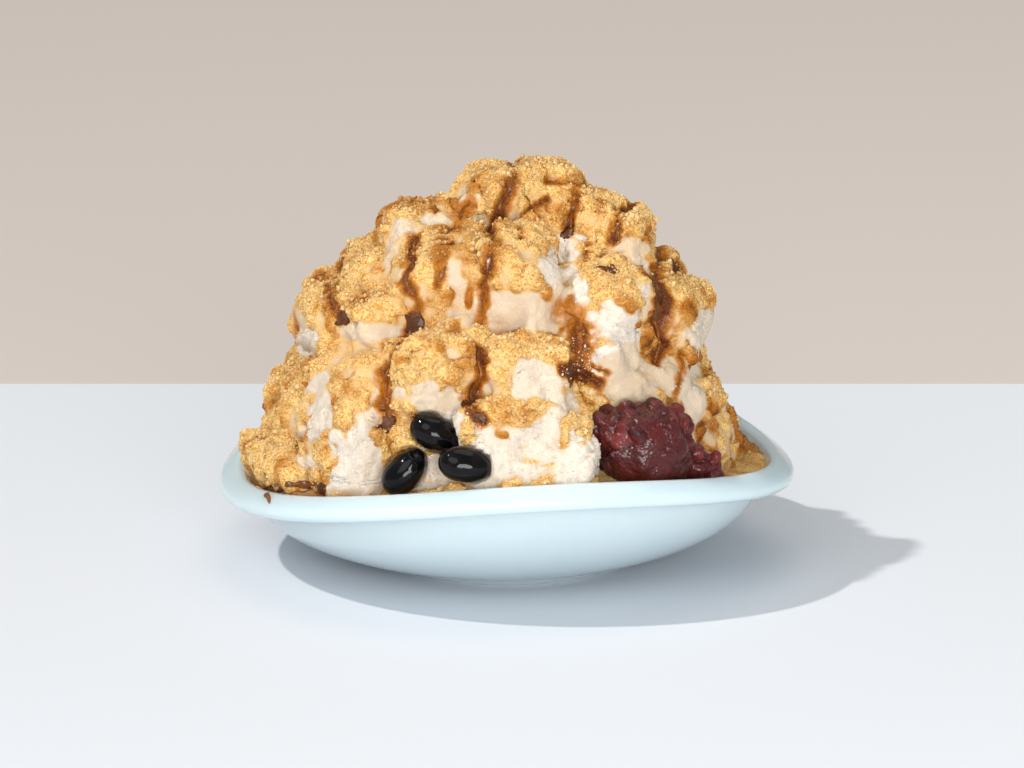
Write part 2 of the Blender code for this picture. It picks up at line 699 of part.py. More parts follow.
def heap_directions():
    """Directions from the heap's centre to its mesh, and the mesh's faces, from a cube."""
    work = bmesh.new()
    bmesh.ops.create_cube(work, size=2.0)
    bmesh.ops.subdivide_edges(work, edges=work.edges, cuts=HEAP_GRID - 1, use_grid_fill=True)
    bent = np.array([vertex.co for vertex in work.verts]) * math.pi / 4
    directions = np.tan(bent)
    directions /= np.linalg.norm(directions, axis=1)[:, None]
    split = 2 * HEAP_LOW_SHARE - 1.0
    rise = directions[:, 2]
    moved = np.where(rise < split, (rise - split) / (split + 1.0), (rise - split) / (1.0 - split))
    level = np.sqrt(np.maximum(1.0 - moved**2, 0.0) / np.maximum(1.0 - rise**2, 1e-9))
    directions = np.stack([directions[:, 0] * level, directions[:, 1] * level, moved], axis=1)
    faces = [[vertex.index for vertex in face.verts] for face in work.faces]
    work.free()
    return directions / np.linalg.norm(directions, axis=1)[:, None], faces


def heap_reach(directions, blocks):
    """How far the heap reaches from its centre along each direction."""
    centre = np.array(HEAP_CENTRE)
    count = len(directions)
    reach = np.full(count, 0.0)
    found = np.zeros(count, dtype=bool)
    step = MARCH_START / MARCH_STEPS
    for number in range(MARCH_STEPS):
        distance = MARCH_START - number * step
        open_rays = np.nonzero(~found)[0]
        if len(open_rays) == 0:
            break
        inside = heap_distance(centre + directions[open_rays] * distance, blocks) < 0.0
        reach[open_rays[inside]] = distance
        found[open_rays[inside]] = True
    low = reach.copy()
    high = reach + step
    for _ in range(BISECTIONS):
        middle = (low + high) / 2
        inside = heap_distance(centre + directions * middle[:, None], blocks) < 0.0
        low = np.where(inside, middle, low)
        high = np.where(inside, high, middle)
    return low


def front_point(tree, x, z):
    """The point of the heap's front at x and z, and the way it faces there."""
    place, normal, _, _ = tree.ray_cast(Vector((x, -0.2, z)), Vector((0.0, 1.0, 0.0)))
    return place, normal


def syrup_run(name, run, tree, material):
    """Makes a run of syrup as a closed tube that lies half sunk along the heap's front."""
    curve = bpy.data.curves.new(name, "CURVE")
    curve.dimensions = "3D"
    curve.bevel_depth = run.radius
    curve.bevel_resolution = RUN_SIDES_RESOLUTION
    curve.use_fill_caps = True
    points = []
    for step in range(RUN_STEPS):
        share = step / (RUN_STEPS - 1)
        weights = ((1 - share) ** 2, 2 * share * (1 - share), share**2)
        x, z = [
            sum(weight * point[axis] for weight, point in zip(weights, (run.start, run.middle, run.end)))
            for axis in range(2)
        ]
        place, normal = front_point(tree, x, z)
        if place is not None:
            points.append(place - normal * run.radius * RUN_SUNK)
    spline = curve.splines.new("POLY")
    spline.points.add(len(points) - 1)
    for target, place in zip(spline.points, points):
        target.co = (*place, 1.0)
    tube = bpy.data.objects.new(name, curve)
    bpy.context.scene.collection.objects.link(tube)
    graph = bpy.context.evaluated_depsgraph_get()
    mesh = bpy.data.meshes.new_from_object(tube.evaluated_get(graph))
    bpy.data.objects.remove(tube)
    mesh.materials.clear()
    mesh.materials.append(material)
    work = bmesh.new()
    work.from_mesh(mesh)
    bmesh.ops.remove_doubles(work, verts=work.verts, dist=0.00001)
    bmesh.ops.recalc_face_normals(work, faces=work.faces)
    bmesh.ops.triangulate(work, faces=work.faces)
    work.to_mesh(mesh)
    work.free()
    item = bpy.data.objects.new(name, mesh)
    bpy.context.scene.collection.objects.link(item)
    return item


def clump_places(tree):
    """Where clumps of soybean flour lie: on the parts of the heap that face up, evenly spread."""
    draw = np.random.default_rng(CLUMP_SEED)
    number = 0
    placed = 0
    while placed < CLUMPS:
        number += 1
        azimuth = number * GOLDEN_ANGLE
        out = CLUMP_REACH * math.sqrt(draw.uniform(0.0, 1.0))
        start = Vector((out * math.cos(azimuth), out * math.sin(azimuth), 0.2))
        place, normal, _, _ = tree.ray_cast(start, Vector((0.0, 0.0, -1.0)))
        if place is None or normal.z < CLUMP_FLATNESS or place.z < CLUMP_LOWEST:
            continue
        placed += 1
        yield place, draw.uniform(*CLUMP_RADIUS), draw.uniform(0.0, math.pi)


def bed_profile(azimuth):
    """The closed section of the bed of ice and flour that fills the dish round the heap."""
    wall_radius, _ = inner_wall_top(azimuth)
    shelf_radius, shelf_height = shelf(azimuth)
    knee_radius, _ = knee(azimuth)
    edge = wall_radius - ICE_GAP
    section = []
    for step in range(BED_STEPS + 1):
        out = BED_INNER + (knee_radius - BED_INNER) * math.sin(math.pi / 2 * step / BED_STEPS)
        section.append((out - ICE_GAP, float(inner_surface(out, azimuth)) + ICE_GAP))
    section.append((shelf_radius - ICE_GAP, shelf_height + ICE_GAP))
    for step in range(BED_RINGS):
        out = edge + (BED_INNER - edge) * step / (BED_RINGS - 1)
        place = np.array([(out * math.cos(azimuth), out * math.sin(azimuth), 0.0)])
        rough = RELIEF * float(lattice_noise(place, RELIEF_CELL, 6)[0])
        section.append((out, bed_surface(out, azimuth) + (rough if step else 0.0)))
    return section


def build_ice(material):
    """Builds the heap of ice with its syrup runs and flour clumps, and cuts its neighbours' seats."""
    blocks = [*FRONT_BLOCKS, *back_blocks()]
    directions, faces = heap_directions()
    reach = heap_reach(directions, blocks)
    vertices = np.array(HEAP_CENTRE) + directions * reach[:, None]
    ice = mesh_object("shaved_ice", vertices, faces, material)
    work = bmesh.new()
    work.from_mesh(ice.data)
    tree = BVHTree.FromBMesh(work)
    work.free()

    toppings = new_collection("toppings")
    bed = mesh_object("bed", *carried_round(bed_profile, closed=True, turn=0.5), material)
    move_to(bed, toppings)
    for number, run in enumerate(RUNS):
        move_to(syrup_run(f"run_{number}", run, tree, material), toppings)
    for number, (place, radius, turn) in enumerate(clump_places(tree)):
        clump = blob(
            f"clump_{number}", place, CLUMP_STRETCH * radius, 1, material, CLUMP_ROUGHNESS, turn, number
        )
        move_to(clump, toppings)
    apply_boolean(ice, "UNION", toppings)

    seats = new_collection("seats")
    for number, bean in enumerate(BEANS):
        move_to(mesh_object(f"seat_{number}", *bean_shape(bean, SEAT_GROWTH), material), seats)
    for lump in paste_lumps("paste_seat", material, SEAT_GROWTH):
        move_to(lump, seats)
    lip_seat = mesh_object("lip_seat", *carried_round(lip_seat_profile, closed=True), material)
    move_to(lip_seat, seats)
    apply_boolean(ice, "DIFFERENCE", seats, "MANIFOLD")
    keep_largest_body(ice)
    shade_smooth(ice, 60)
    return ice


def main():
    """Clears the scene and builds the dish, the ice, the paste and the beans."""
    for item in list(bpy.data.objects):
        bpy.data.objects.remove(item)
    glass = make_material("milk_glass", (0.70, 0.84, 0.86), 0.12)
    ice = make_material("ice_and_flour", (0.80, 0.56, 0.26), 0.75)
    paste = make_material("bean_paste", (0.085, 0.018, 0.018), 0.25)
    skin = make_material("black_skin", (0.004, 0.004, 0.005), 0.08)
    build_dish(glass)
    build_ice(ice)
    build_bean_paste(paste)
    build_black_beans(skin)


main()
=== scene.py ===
"""Looks of the bowl of kakigori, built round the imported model.

The heap of shaved ice, its soybean flour, its syrup, the bean paste, the black soybeans and the
milk glass dish each have a class of their own. Metres, +Z up, the front faces -Y. Places in the
viewer's picture are in millimetres, right and up from the foot of the dish.
"""

import logging
import math
from dataclasses import dataclass
from enum import Enum
from typing import NamedTuple, Sequence

import bmesh
import bpy
import numpy as np
from mathutils import Euler, Matrix, Vector
from mathutils.bvhtree import BVHTree


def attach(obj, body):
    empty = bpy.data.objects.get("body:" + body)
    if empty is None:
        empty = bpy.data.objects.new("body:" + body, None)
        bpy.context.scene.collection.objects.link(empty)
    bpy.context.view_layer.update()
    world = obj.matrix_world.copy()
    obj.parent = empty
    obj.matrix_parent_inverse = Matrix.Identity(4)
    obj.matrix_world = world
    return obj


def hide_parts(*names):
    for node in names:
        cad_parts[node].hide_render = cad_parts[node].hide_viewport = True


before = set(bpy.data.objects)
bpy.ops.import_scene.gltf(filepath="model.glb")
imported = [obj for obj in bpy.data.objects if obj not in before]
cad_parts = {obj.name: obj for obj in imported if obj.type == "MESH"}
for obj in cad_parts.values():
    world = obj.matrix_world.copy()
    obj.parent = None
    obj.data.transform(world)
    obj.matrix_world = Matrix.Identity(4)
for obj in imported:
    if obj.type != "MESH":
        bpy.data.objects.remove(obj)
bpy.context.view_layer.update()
BODY = "root"
MM = 0.001
GOLDEN_ANGLE = math.pi * (3.0 - math.sqrt(5.0))
HASH_PRIMES = (73856093, 19349663, 83492791)
SEED_PRIME = 2654435
MIXING_PRIME = 1274126177

Array = np.ndarray
Material = bpy.types.Material
Piece = bpy.types.Object
Draw = np.random.Generator
Mesh = tuple[Array, Array]
Marks = dict[str, Array]
Span = tuple[float, float]
Triple = tuple[float, float, float]
Seeds = tuple[int, int, int]
Colour = tuple[float, float, float]

log = logging.getLogger("kakigori")


# ---- numbers over many points


class Ramp(NamedTuple):
    """A smooth rise from 0 at low to 1 at high, or a fall where high is less than low."""

    low: float
    high: float

    def at(self, values: Array) -> Array:
        """How far the ramp has risen at values."""
        share = np.clip((values - self.low) / (self.high - self.low), 0.0, 1.0)
        return share * share * (3.0 - 2.0 * share)


def scrambled(nodes: Array, seed: int) -> Array:
    """A random whole number of 31 bits for each node of a lattice."""
    x, y, z = (nodes * np.array(HASH_PRIMES)).T
    mixed = x ^ y ^ z ^ seed * SEED_PRIME
    return (mixed ^ (mixed >> 13)) * MIXING_PRIME & 0x7FFFFFFF


class Noise(NamedTuple):
    """Smooth noise: the side of its cells and which noise it is."""

    cell: float
    seed: int

    def at(self, points: Array) -> Array:
        """The noise at points.

        Args:
            points: Places, one per row.

        Returns:
            One value between -1 and 1 for each point.
        """
        scaled = points / self.cell
        base = np.floor(scaled).astype(np.int64)
        part = scaled - base
        part = part * part * (3.0 - 2.0 * part)
        total = np.zeros(len(points))
        for corner in np.ndindex(2, 2, 2):
            mixed = scrambled(base + np.array(corner), self.seed)
            value = ((mixed ^ (mixed >> 16)) & 0xFFFF) / 32767.5 - 1.0
            share = np.ones(len(points))
            for axis in range(3):
                share = share * (part[:, axis] if corner[axis] else 1.0 - part[:, axis])
            total += value * share
        return total


class Lumps(NamedTuple):
    """Rounded lumps like a cauliflower's, one for each cell: how high, the cell's side and which."""

    height: float
    cell: float
    seed: int

    def at(self, points: Array) -> Array:
        """How far up a lump each point lies.

        Args:
            points: Places, one per row.

        Returns:
            One value for each point, 0 between the lumps and 1 in their middles.
        """
        scaled = points / self.cell
        base = np.floor(scaled).astype(np.int64)
        nearest = np.full(len(points), 4.0)
        for corner in np.ndindex(3, 3, 3):
            node = base + np.array(corner) - 1
            mixed = scrambled(node, self.seed)
            offset = np.stack([(mixed >> shift & 0x3FF) / 1023.0 for shift in (0, 10, 20)], axis=1)
            nearest = np.minimum(nearest, ((node + offset - scaled) ** 2).sum(axis=1))
        return np.sqrt(np.maximum(1.0 - nearest / 0.75, 0.0))


def drift(points: Array, cell: float, seeds: Sequence[int]) -> Array:
    """A smooth random shift in x, y and z for each point, each between -1 and 1."""
    return np.stack([Noise(cell, seed).at(points) for seed in seeds], axis=1)


def smooth_union(first: Array, second: Array, blend: float) -> Array:
    """Joins two distance fields, melted together over the length blend."""
    mix = np.clip(0.5 + 0.5 * (second - first) / blend, 0.0, 1.0)
    return second * (1.0 - mix) + first * mix - blend * mix * (1.0 - mix)


# ---- line of sight


@dataclass(frozen=True)
class Sight:
    """The viewer's line of sight. Places in its picture are right and up from the foot of the
    dish, in the plane through the foot that is square to the line."""

    elevation: float = math.radians(15.3)
    distance: float = 1.8
    pitch: float = math.radians(13.51)
    aside: float = 0.00183
    lens: float = 190.2

    def eye(self) -> Array:
        """Where the viewer's eye is."""
        back = self.distance * math.cos(self.elevation)
        return np.array((self.aside, -back, self.distance * math.sin(self.elevation)))

    def forward(self) -> Array:
        """The way the eye looks."""
        return np.array((0.0, math.cos(self.pitch), -math.sin(self.pitch)))

    def upward(self) -> Array:
        """Up in the picture."""
        return np.array((0.0, math.sin(self.pitch), math.cos(self.pitch)))

    def picture(self, points: Array) -> Array:
        """Places of points in the picture.

        Args:
            points: Points, one per row.

        Returns:
            Their places right and up in millimetres, one per row.
        """
        foot = -self.eye()
        away = points - self.eye()
        depth = away @ self.forward()
        reach = foot @ self.forward()
        right = self.aside + reach * away[:, 0] / depth
        up = reach * (away @ self.upward()) / depth - foot @ self.upward()
        return np.stack([right, up], axis=1) / MM

    def ray(self, right: float, up: float) -> Vector:
        """Direction from the eye through a place in the picture.

        Args:
            right: The place's distance to the right, in millimetres.
            up: Its height, in millimetres.

        Returns:
            The direction, of length 1.
        """
        foot = -self.eye()
        reach = foot @ self.forward()
        rise = foot @ self.upward() + up * MM
        ray = self.forward() * reach + self.upward() * rise
        ray[0] += right * MM - self.aside
        return Vector(ray).normalized()

    def cast(self, tree: BVHTree, right: float, up: float) -> tuple[Vector | None, Vector | None]:
        """The first point of a surface seen at a place in the picture, and the way it faces."""
        place, normal, _, _ = tree.ray_cast(Vector(self.eye()), self.ray(right, up))
        return place, normal


SIGHT = Sight()


# ---- meshes from arrays


def skin_normals(vertices: Array, faces: Array) -> Array:
    """The way that a triangulated skin faces at each vertex.

    Args:
        vertices: Its points, one per row.
        faces: Its triangles, one per row.

    Returns:
        One direction of length 1 for each vertex.
    """
    corners = vertices[faces]
    flat = np.cross(corners[:, 1] - corners[:, 0], corners[:, 2] - corners[:, 0])
    normals = np.zeros_like(vertices)
    for corner in range(3):
        for axis in range(3):
            normals[:, axis] += np.bincount(faces[:, corner], flat[:, axis], len(vertices))
    return normals / np.maximum(np.linalg.norm(normals, axis=1)[:, None], 1e-12)


def mesh_piece(
    name: str,
    vertices: Array,
    faces: Array,
    material: Material,
    marks: Marks | None = None,
    smooth: bool = True,
) -> Piece:
    """Makes an object from arrays.

    Args:
        name: The piece's name.
        vertices: Its points, one per row.
        faces: Its faces, one per row, all with the same number of corners.
        material: Its material.
        marks: Values at each vertex that the material reads, by name.
        smooth: Whether it is shaded smooth.

    Returns:
        The object, in the scene.
    """
    sides = faces.shape[1]
    mesh = bpy.data.meshes.new(name)
    mesh.vertices.add(len(vertices))
    mesh.vertices.foreach_set("co", np.asarray(vertices, np.float32).ravel())
    mesh.loops.add(len(faces) * sides)
    mesh.loops.foreach_set("vertex_index", np.asarray(faces, np.int32).ravel())
    mesh.polygons.add(len(faces))
    mesh.polygons.foreach_set("loop_start", np.arange(0, len(faces) * sides, sides, dtype=np.int32))
    mesh.polygons.foreach_set("use_smooth", np.full(len(faces), smooth))
    mesh.update(calc_edges=True)
    for mark, values in (marks or {}).items():
        attribute = mesh.attributes.new(mark, "FLOAT", "POINT")
        attribute.data.foreach_set("value", np.asarray(values, np.float32))
    mesh.materials.append(material)
    piece = bpy.data.objects.new(name, mesh)
    bpy.context.scene.collection.objects.link(piece)
    return piece


def arrays_out_of(mesh: bpy.types.Mesh) -> Mesh:
    """Takes the vertices and triangles out of a mesh, and removes it.

    Args:
        mesh: The mesh, which isn't used any more.

    Returns:
        The vertices and the triangles.
    """
    points = np.zeros(len(mesh.vertices) * 3, np.float32)
    mesh.vertices.foreach_get("co", points)
    mesh.calc_loop_triangles()
    corners = np.zeros(len(mesh.loop_triangles) * 3, np.int32)
    mesh.loop_triangles.foreach_get("vertices", corners)
    bpy.data.meshes.remove(mesh)
    return points.reshape(-1, 3).astype(float), corners.reshape(-1, 3).astype(np.int64)


def joined(parts: Sequence[Mesh]) -> Mesh:
    """Vertices and faces of several meshes as one."""
    offsets = np.cumsum([0] + [len(vertices) for vertices, _ in parts[:-1]])
    faces = [faces + offset for (_, faces), offset in zip(parts, offsets)]
    return np.concatenate([vertices for vertices, _ in parts]), np.concatenate(faces)


def ball(subdivisions: int) -> Mesh:
    """A ball of radius 1 made of triangles.

    Args:
        subdivisions: How fine it is.

    Returns:
        Its vertices and faces.
    """
    work = bmesh.new()
    bmesh.ops.create_icosphere(work, subdivisions=subdivisions, radius=1.0)
    vertices = np.array([vertex.co for vertex in work.verts])
    faces = np.array([[vertex.index for vertex in face.verts] for face in work.faces])
    work.free()
    return vertices, faces


def octahedron() -> Mesh:
    """An octahedron of radius 1.

    Returns:
        Its vertices and faces.
    """
    vertices = np.array([(1, 0, 0), (-1, 0, 0), (0, 1, 0), (0, -1, 0), (0, 0, 1), (0, 0, -1)], float)
    faces = []
    for x, y, z in np.ndindex(2, 2, 2):
        corner = [x, 2 + y, 4 + z]
        faces.append(corner if (x + y + z) % 2 == 0 else corner[::-1])
    return vertices, np.array(faces)


def ring(radius: Array, azimuth: Array, height: Array) -> Array:
    """Points round the middle of the dish, one per row."""
    return np.stack([radius * np.cos(azimuth), radius * np.sin(azimuth), height], axis=1)


def band_faces(rows: int, segments: int, closed: bool = False) -> Array:
    """Triangles between rings of vertices, each ring joined to the next.

    Args:
        rows: How many rings there are.
        segments: How many vertices each ring has.
        closed: Whether the last ring is joined to the first.

    Returns:
        The triangles, one per row.
    """
    around = np.arange(segments)
    onward = (around + 1) % segments
    faces = []
    for row in range(rows if closed else rows - 1):
        here = row * segments
        above = (row + 1) % rows * segments
        faces.append(np.stack([here + around, here + onward, above + onward], axis=1))
        faces.append(np.stack([here + around, above + onward, above + around], axis=1))
    return np.concatenate(faces)


def random_turns(draw: Draw, count: int) -> Array:
    """Random rotations.

    Args:
        draw: Where the random numbers come from.
        count: How many.

    Returns:
        Their matrices, one after another.
    """
    quaternion = draw.normal(size=(count, 4))
    quaternion /= np.linalg.norm(quaternion, axis=1)[:, None]
    w, x, y, z = quaternion.T
    rows = [
        [1 - 2 * (y * y + z * z), 2 * (x * y - z * w), 2 * (x * z + y * w)],
        [2 * (x * y + z * w), 1 - 2 * (x * x + z * z), 2 * (y * z - x * w)],
        [2 * (x * z - y * w), 2 * (y * z + x * w), 1 - 2 * (x * x + y * y)],
    ]
    return np.moveaxis(np.array(rows), 2, 0)


def scattered(
    form: Mesh,
    places: Array,
    sizes: Array,
    turns: Array,
    roughness: float,
    draw: Draw,
) -> Mesh:
    """Many uneven copies of a form, as one mesh.

    Args:
        form: Vertices and faces of the form.
        places: Where the copies lie, one per row.
        sizes: Their three half sizes, one row each.
        turns: Their rotation matrices.
        roughness: How far each vertex is moved, as a share of the size.
        draw: Where the random numbers come from.

    Returns:
        The vertices and the faces.
    """
    base, faces = form
    count = len(places)
    swell = 1.0 + roughness * draw.uniform(-1.0, 1.0, (count, len(base), 1))
    local = base[None] * swell * sizes[:, None, :]
    vertices = np.einsum("nij,nkj->nki", turns, local) + places[:, None, :]
    offsets = np.arange(count)[:, None, None] * len(base)
    return vertices.reshape(-1, 3), (faces[None] + offsets).reshape(-1, faces.shape[1])


@dataclass
class Skin:
    """A triangulated surface with marks at its vertices, on which other things are placed."""

    vertices: Array
    faces: Array
    marks: Marks

    def tree(self) -> BVHTree:
        """A search tree of the surface."""
        return BVHTree.FromPolygons(self.vertices.tolist(), self.faces.tolist())

    def sample(self, count: int, weight: Array, draw: Draw) -> tuple[Array, Array, Marks]:
        """Random points on the surface.

        Args:
            count: How many points.
            weight: How likely the neighbourhood of each vertex is.
            draw: Where the random numbers come from.

        Returns:
            The points, the way the surface faces there, and its marks there.
        """
        corners = self.vertices[self.faces]
        flat = np.cross(corners[:, 1] - corners[:, 0], corners[:, 2] - corners[:, 0])
        share = np.maximum(np.linalg.norm(flat, axis=1) * weight[self.faces].mean(axis=1), 0.0)
        chosen = draw.choice(len(self.faces), size=count, p=share / share.sum())
        mix = draw.dirichlet((1.0, 1.0, 1.0), count)
        places = np.einsum("nk,nkj->nj", mix, corners[chosen])
        corner_ids = self.faces[chosen]
        facing = np.einsum("nk,nkj->nj", mix, skin_normals(self.vertices, self.faces)[corner_ids])
        facing /= np.maximum(np.linalg.norm(facing, axis=1)[:, None], 1e-9)
        marks = {name: np.einsum("nk,nk->n", mix, values[corner_ids]) for name, values in self.marks.items()}
        return places, facing, marks


# ---- shader node helpers


class Shading:
    """A node tree being built."""

    def __init__(self, tree: bpy.types.NodeTree) -> None:
        """Keeps the tree."""
        self.tree = tree

    def node(self, kind: str, **settings: object) -> bpy.types.Node:
        """Adds a node.

        Args:
            kind: Its type.
            **settings: Its properties.

        Returns:
            The node.
        """
        node = self.tree.nodes.new(kind)
        for name, value in settings.items():
            setattr(node, name, value)
        return node

    def put(self, target: bpy.types.NodeSocket, source: object) -> None:
        """Sets a socket to a value, or links it to another socket.

        Args:
            target: The socket.
            source: A number, a colour, a vector or a socket.
        """
        if isinstance(source, bpy.types.NodeSocket):
            self.tree.links.new(source, target)
        elif isinstance(source, tuple) and len(source) == 3 and target.type == "RGBA":
            target.default_value = (*source, 1.0)
        else:
            target.default_value = source

    def fill(self, node: bpy.types.Node, **values: object) -> bpy.types.Node:
        """Sets or links a node's inputs, with an underscore for each space in their names.

        Args:
            node: The node.
            **values: What goes into each input.

        Returns:
            The same node.
        """
        for name, value in values.items():
            self.put(node.inputs[name.replace("_", " ")], value)
        return node

    def mark(self, name: str) -> bpy.types.NodeSocket:
        """The value of a mark at the surface's vertices."""
        node = self.node("ShaderNodeAttribute", attribute_type="GEOMETRY", attribute_name=name)
        return node.outputs["Fac"]

    def place(self) -> bpy.types.NodeSocket:
        """The place in the object's own space."""
        return self.node("ShaderNodeTexCoord").outputs["Object"]

    def math(
        self, operation: str, first: object, second: object = 0.0, clamp: bool = False
    ) -> bpy.types.NodeSocket:
        """Reckons with two values.

        Args:
            operation: What is done with them.
            first: The first value.
            second: The second value.
            clamp: Whether the result is kept between 0 and 1.

        Returns:
            The result.
        """
        node = self.node("ShaderNodeMath", operation=operation, use_clamp=clamp)
        self.put(node.inputs[0], first)
        self.put(node.inputs[1], second)
        return node.outputs[0]

    def swing(self, value: object, amount: float) -> bpy.types.NodeSocket:
        """A value between 0 and 1 made to swing round 0, by an amount."""
        return self.math("MULTIPLY", self.math("SUBTRACT", value, 0.5), amount)

    def weighed(
        self, first: object, first_share: float, second: object, second_share: float
    ) -> bpy.types.NodeSocket:
        """The sum of two values, each times its share."""
        scaled = self.math("MULTIPLY", first, first_share)
        return self.math("ADD", scaled, self.math("MULTIPLY", second, second_share))

    def step(self, value: object, ramp: Ramp) -> bpy.types.NodeSocket:
        """How far a ramp has risen at a value."""
        node = self.node("ShaderNodeMapRange", interpolation_type="SMOOTHSTEP")
        return self.fill(node, Value=value, From_Min=ramp.low, From_Max=ramp.high).outputs["Result"]

    def mix(self, share: object, first: object, second: object) -> bpy.types.NodeSocket:
        """A mix of two colours.

        Args:
            share: How much of the second colour there is.
            first: The first colour.
            second: The second colour.

        Returns:
            The mixed colour.
        """
        node = self.node("ShaderNodeMix", data_type="RGBA")
        self.put(node.inputs[0], share)
        self.put(node.inputs[6], first)
        self.put(node.inputs[7], second)
        return node.outputs[2]

    def noise(self, scale: object, detail: float = 3.0, roughness: float = 0.6) -> bpy.types.NodeSocket:
        """Noise over the object's own space.

        Args:
            scale: How fine it is.
            detail: How many finer layers are added.
            roughness: How strong these are.

        Returns:
            The noise, between 0 and 1.
        """
        node = self.node("ShaderNodeTexNoise")
        self.fill(node, Vector=self.place(), Scale=scale, Detail=detail, Roughness=roughness)
        return node.outputs["Fac"]

    def bump(self, height: object, depth: float, strength: float = 1.0) -> bpy.types.NodeSocket:
        """A normal that is bent by a height."""
        node = self.node("ShaderNodeBump")
        return self.fill(node, Height=height, Distance=depth, Strength=strength).outputs["Normal"]


class Effect(Enum):
    """The effects that more than one material uses."""

    SOAK_AND_SHADE = "syrup_soak"
    GRIT = "fine_grit"
    WET = "wet_film"


class Socket(Enum):
    """The kinds of sockets that a group has."""

    COLOUR = "NodeSocketColor"
    VALUE = "NodeSocketFloat"


class Group:
    """A shader node group with named inputs and outputs."""

    def __init__(self, effect: Effect, inputs: dict[str, Socket], outputs: dict[str, Socket]) -> None:
        """Starts the group.

        Args:
            effect: What it is for.
            inputs: The names and kinds of its inputs.
            outputs: The names and kinds of its outputs.
        """
        self.tree = bpy.data.node_groups.new(effect.value, "ShaderNodeTree")
        for name, kind in inputs.items():
            self.tree.interface.new_socket(name, in_out="INPUT", socket_type=kind.value)
        for name, kind in outputs.items():
            self.tree.interface.new_socket(name, in_out="OUTPUT", socket_type=kind.value)
        self.shading = Shading(self.tree)
        self.source = self.shading.node("NodeGroupInput").outputs
        self.target = self.shading.node("NodeGroupOutput")


@dataclass(frozen=True)
class SoakAndShade:
    """Syrup that has soaked in, and shade painted as damp: it darkens a dry colour in patches."""

    patch_scale: float = 700.0
    patchiness: float = 0.4
    damp: Ramp = Ramp(0.08, 0.58)
    deep: Ramp = Ramp(0.48, 0.92)
    gloss: Ramp = Ramp(0.35, 0.9)

    def build(self) -> bpy.types.NodeTree:
        """Makes the group.

        Returns:
            Its tree.
        """
        inputs = dict.fromkeys(("Dry", "Soaked", "Syrup"), Socket.COLOUR) | {"SoakAndShade": Socket.VALUE}
        group = Group(Effect.SOAK_AND_SHADE, inputs, {"Color": Socket.COLOUR, "Gloss": Socket.VALUE})
        shading, source = group.shading, group.source
        swing = shading.swing(shading.noise(self.patch_scale), self.patchiness)
        patchy = shading.math("ADD", source["SoakAndShade"], swing)
        colour = shading.mix(shading.step(patchy, self.damp), source["Dry"], source["Soaked"])
        colour = shading.mix(shading.step(patchy, self.deep), colour, source["Syrup"])
        shading.fill(group.target, Color=colour, Gloss=shading.step(patchy, self.gloss))
        return group.tree


@dataclass(frozen=True)
class Grit:
    """Fine grains: a tone that varies from grain to grain, and their height."""

    grain_share: float = 0.45
    coarse_share: float = 0.55
    coarse_detail: float = 4.0
    coarse_roughness: float = 0.5

    def build(self) -> bpy.types.NodeTree:
        """Makes the group.

        Returns:
            Its tree.
        """
        inputs = dict.fromkeys(("Scale", "Coarse Scale"), Socket.VALUE)
        group = Group(Effect.GRIT, inputs, dict.fromkeys(("Tone", "Height"), Socket.VALUE))
        shading, source = group.shading, group.source
        cells = shading.node("ShaderNodeTexVoronoi", feature="F1")
        shading.fill(cells, Vector=shading.place(), Scale=source["Scale"])
        coarse = shading.noise(source["Coarse Scale"], self.coarse_detail, self.coarse_roughness)
        height = shading.math("ADD", shading.math("SUBTRACT", 1.0, cells.outputs["Distance"]), coarse)
        split = shading.node("ShaderNodeSeparateColor")
        shading.put(split.inputs[0], cells.outputs["Color"])
        tone = shading.weighed(split.outputs[0], self.grain_share, coarse, self.coarse_share)
        shading.fill(group.target, Tone=tone, Height=shading.math("MULTIPLY", height, 0.5))
        return group.tree


@dataclass(frozen=True)
class Wet:
    """A wet film that pools unevenly: its roughness and its soft waves."""

    dull: Ramp = Ramp(0.45, 0.75)
    wave_roughness: float = 0.5

    def build(self) -> bpy.types.NodeTree:
        """Makes the group.

        Returns:
            Its tree.
        """
        inputs = dict.fromkeys(("Rough", "Patchiness", "Scale"), Socket.VALUE)
        group = Group(Effect.WET, inputs, dict.fromkeys(("Roughness", "Height"), Socket.VALUE))
        shading, source = group.shading, group.source
        waves = shading.noise(source["Scale"], roughness=self.wave_roughness)
        extra = shading.math("MULTIPLY", shading.step(waves, self.dull), source["Patchiness"])
        shading.fill(group.target, Roughness=shading.math("ADD", source["Rough"], extra), Height=waves)
        return group.tree


class Groups:
    """The shader node groups, built once."""

    def __init__(self) -> None:
        """Builds each group."""
        self.trees = {Effect.SOAK_AND_SHADE: SoakAndShade().build(), Effect.GRIT: Grit().build(), Effect.WET: Wet().build()}

    def place(self, shading: Shading, effect: Effect, **values: object) -> bpy.types.Node:
        """Places an effect in a material with its own values."""
        return shading.fill(shading.node("ShaderNodeGroup", node_tree=self.trees[effect]), **values)


# ---- finishes


def start_material(name: str) -> tuple[Material, Shading, bpy.types.Node]:
    """Makes a material with its Principled shader.

    Args:
        name: The material's name.

    Returns:
        The material, its node tree and its shader.
    """
    material = bpy.data.materials.new(name)
    material.use_nodes = True
    return material, Shading(material.node_tree), material.node_tree.nodes["Principled BSDF"]


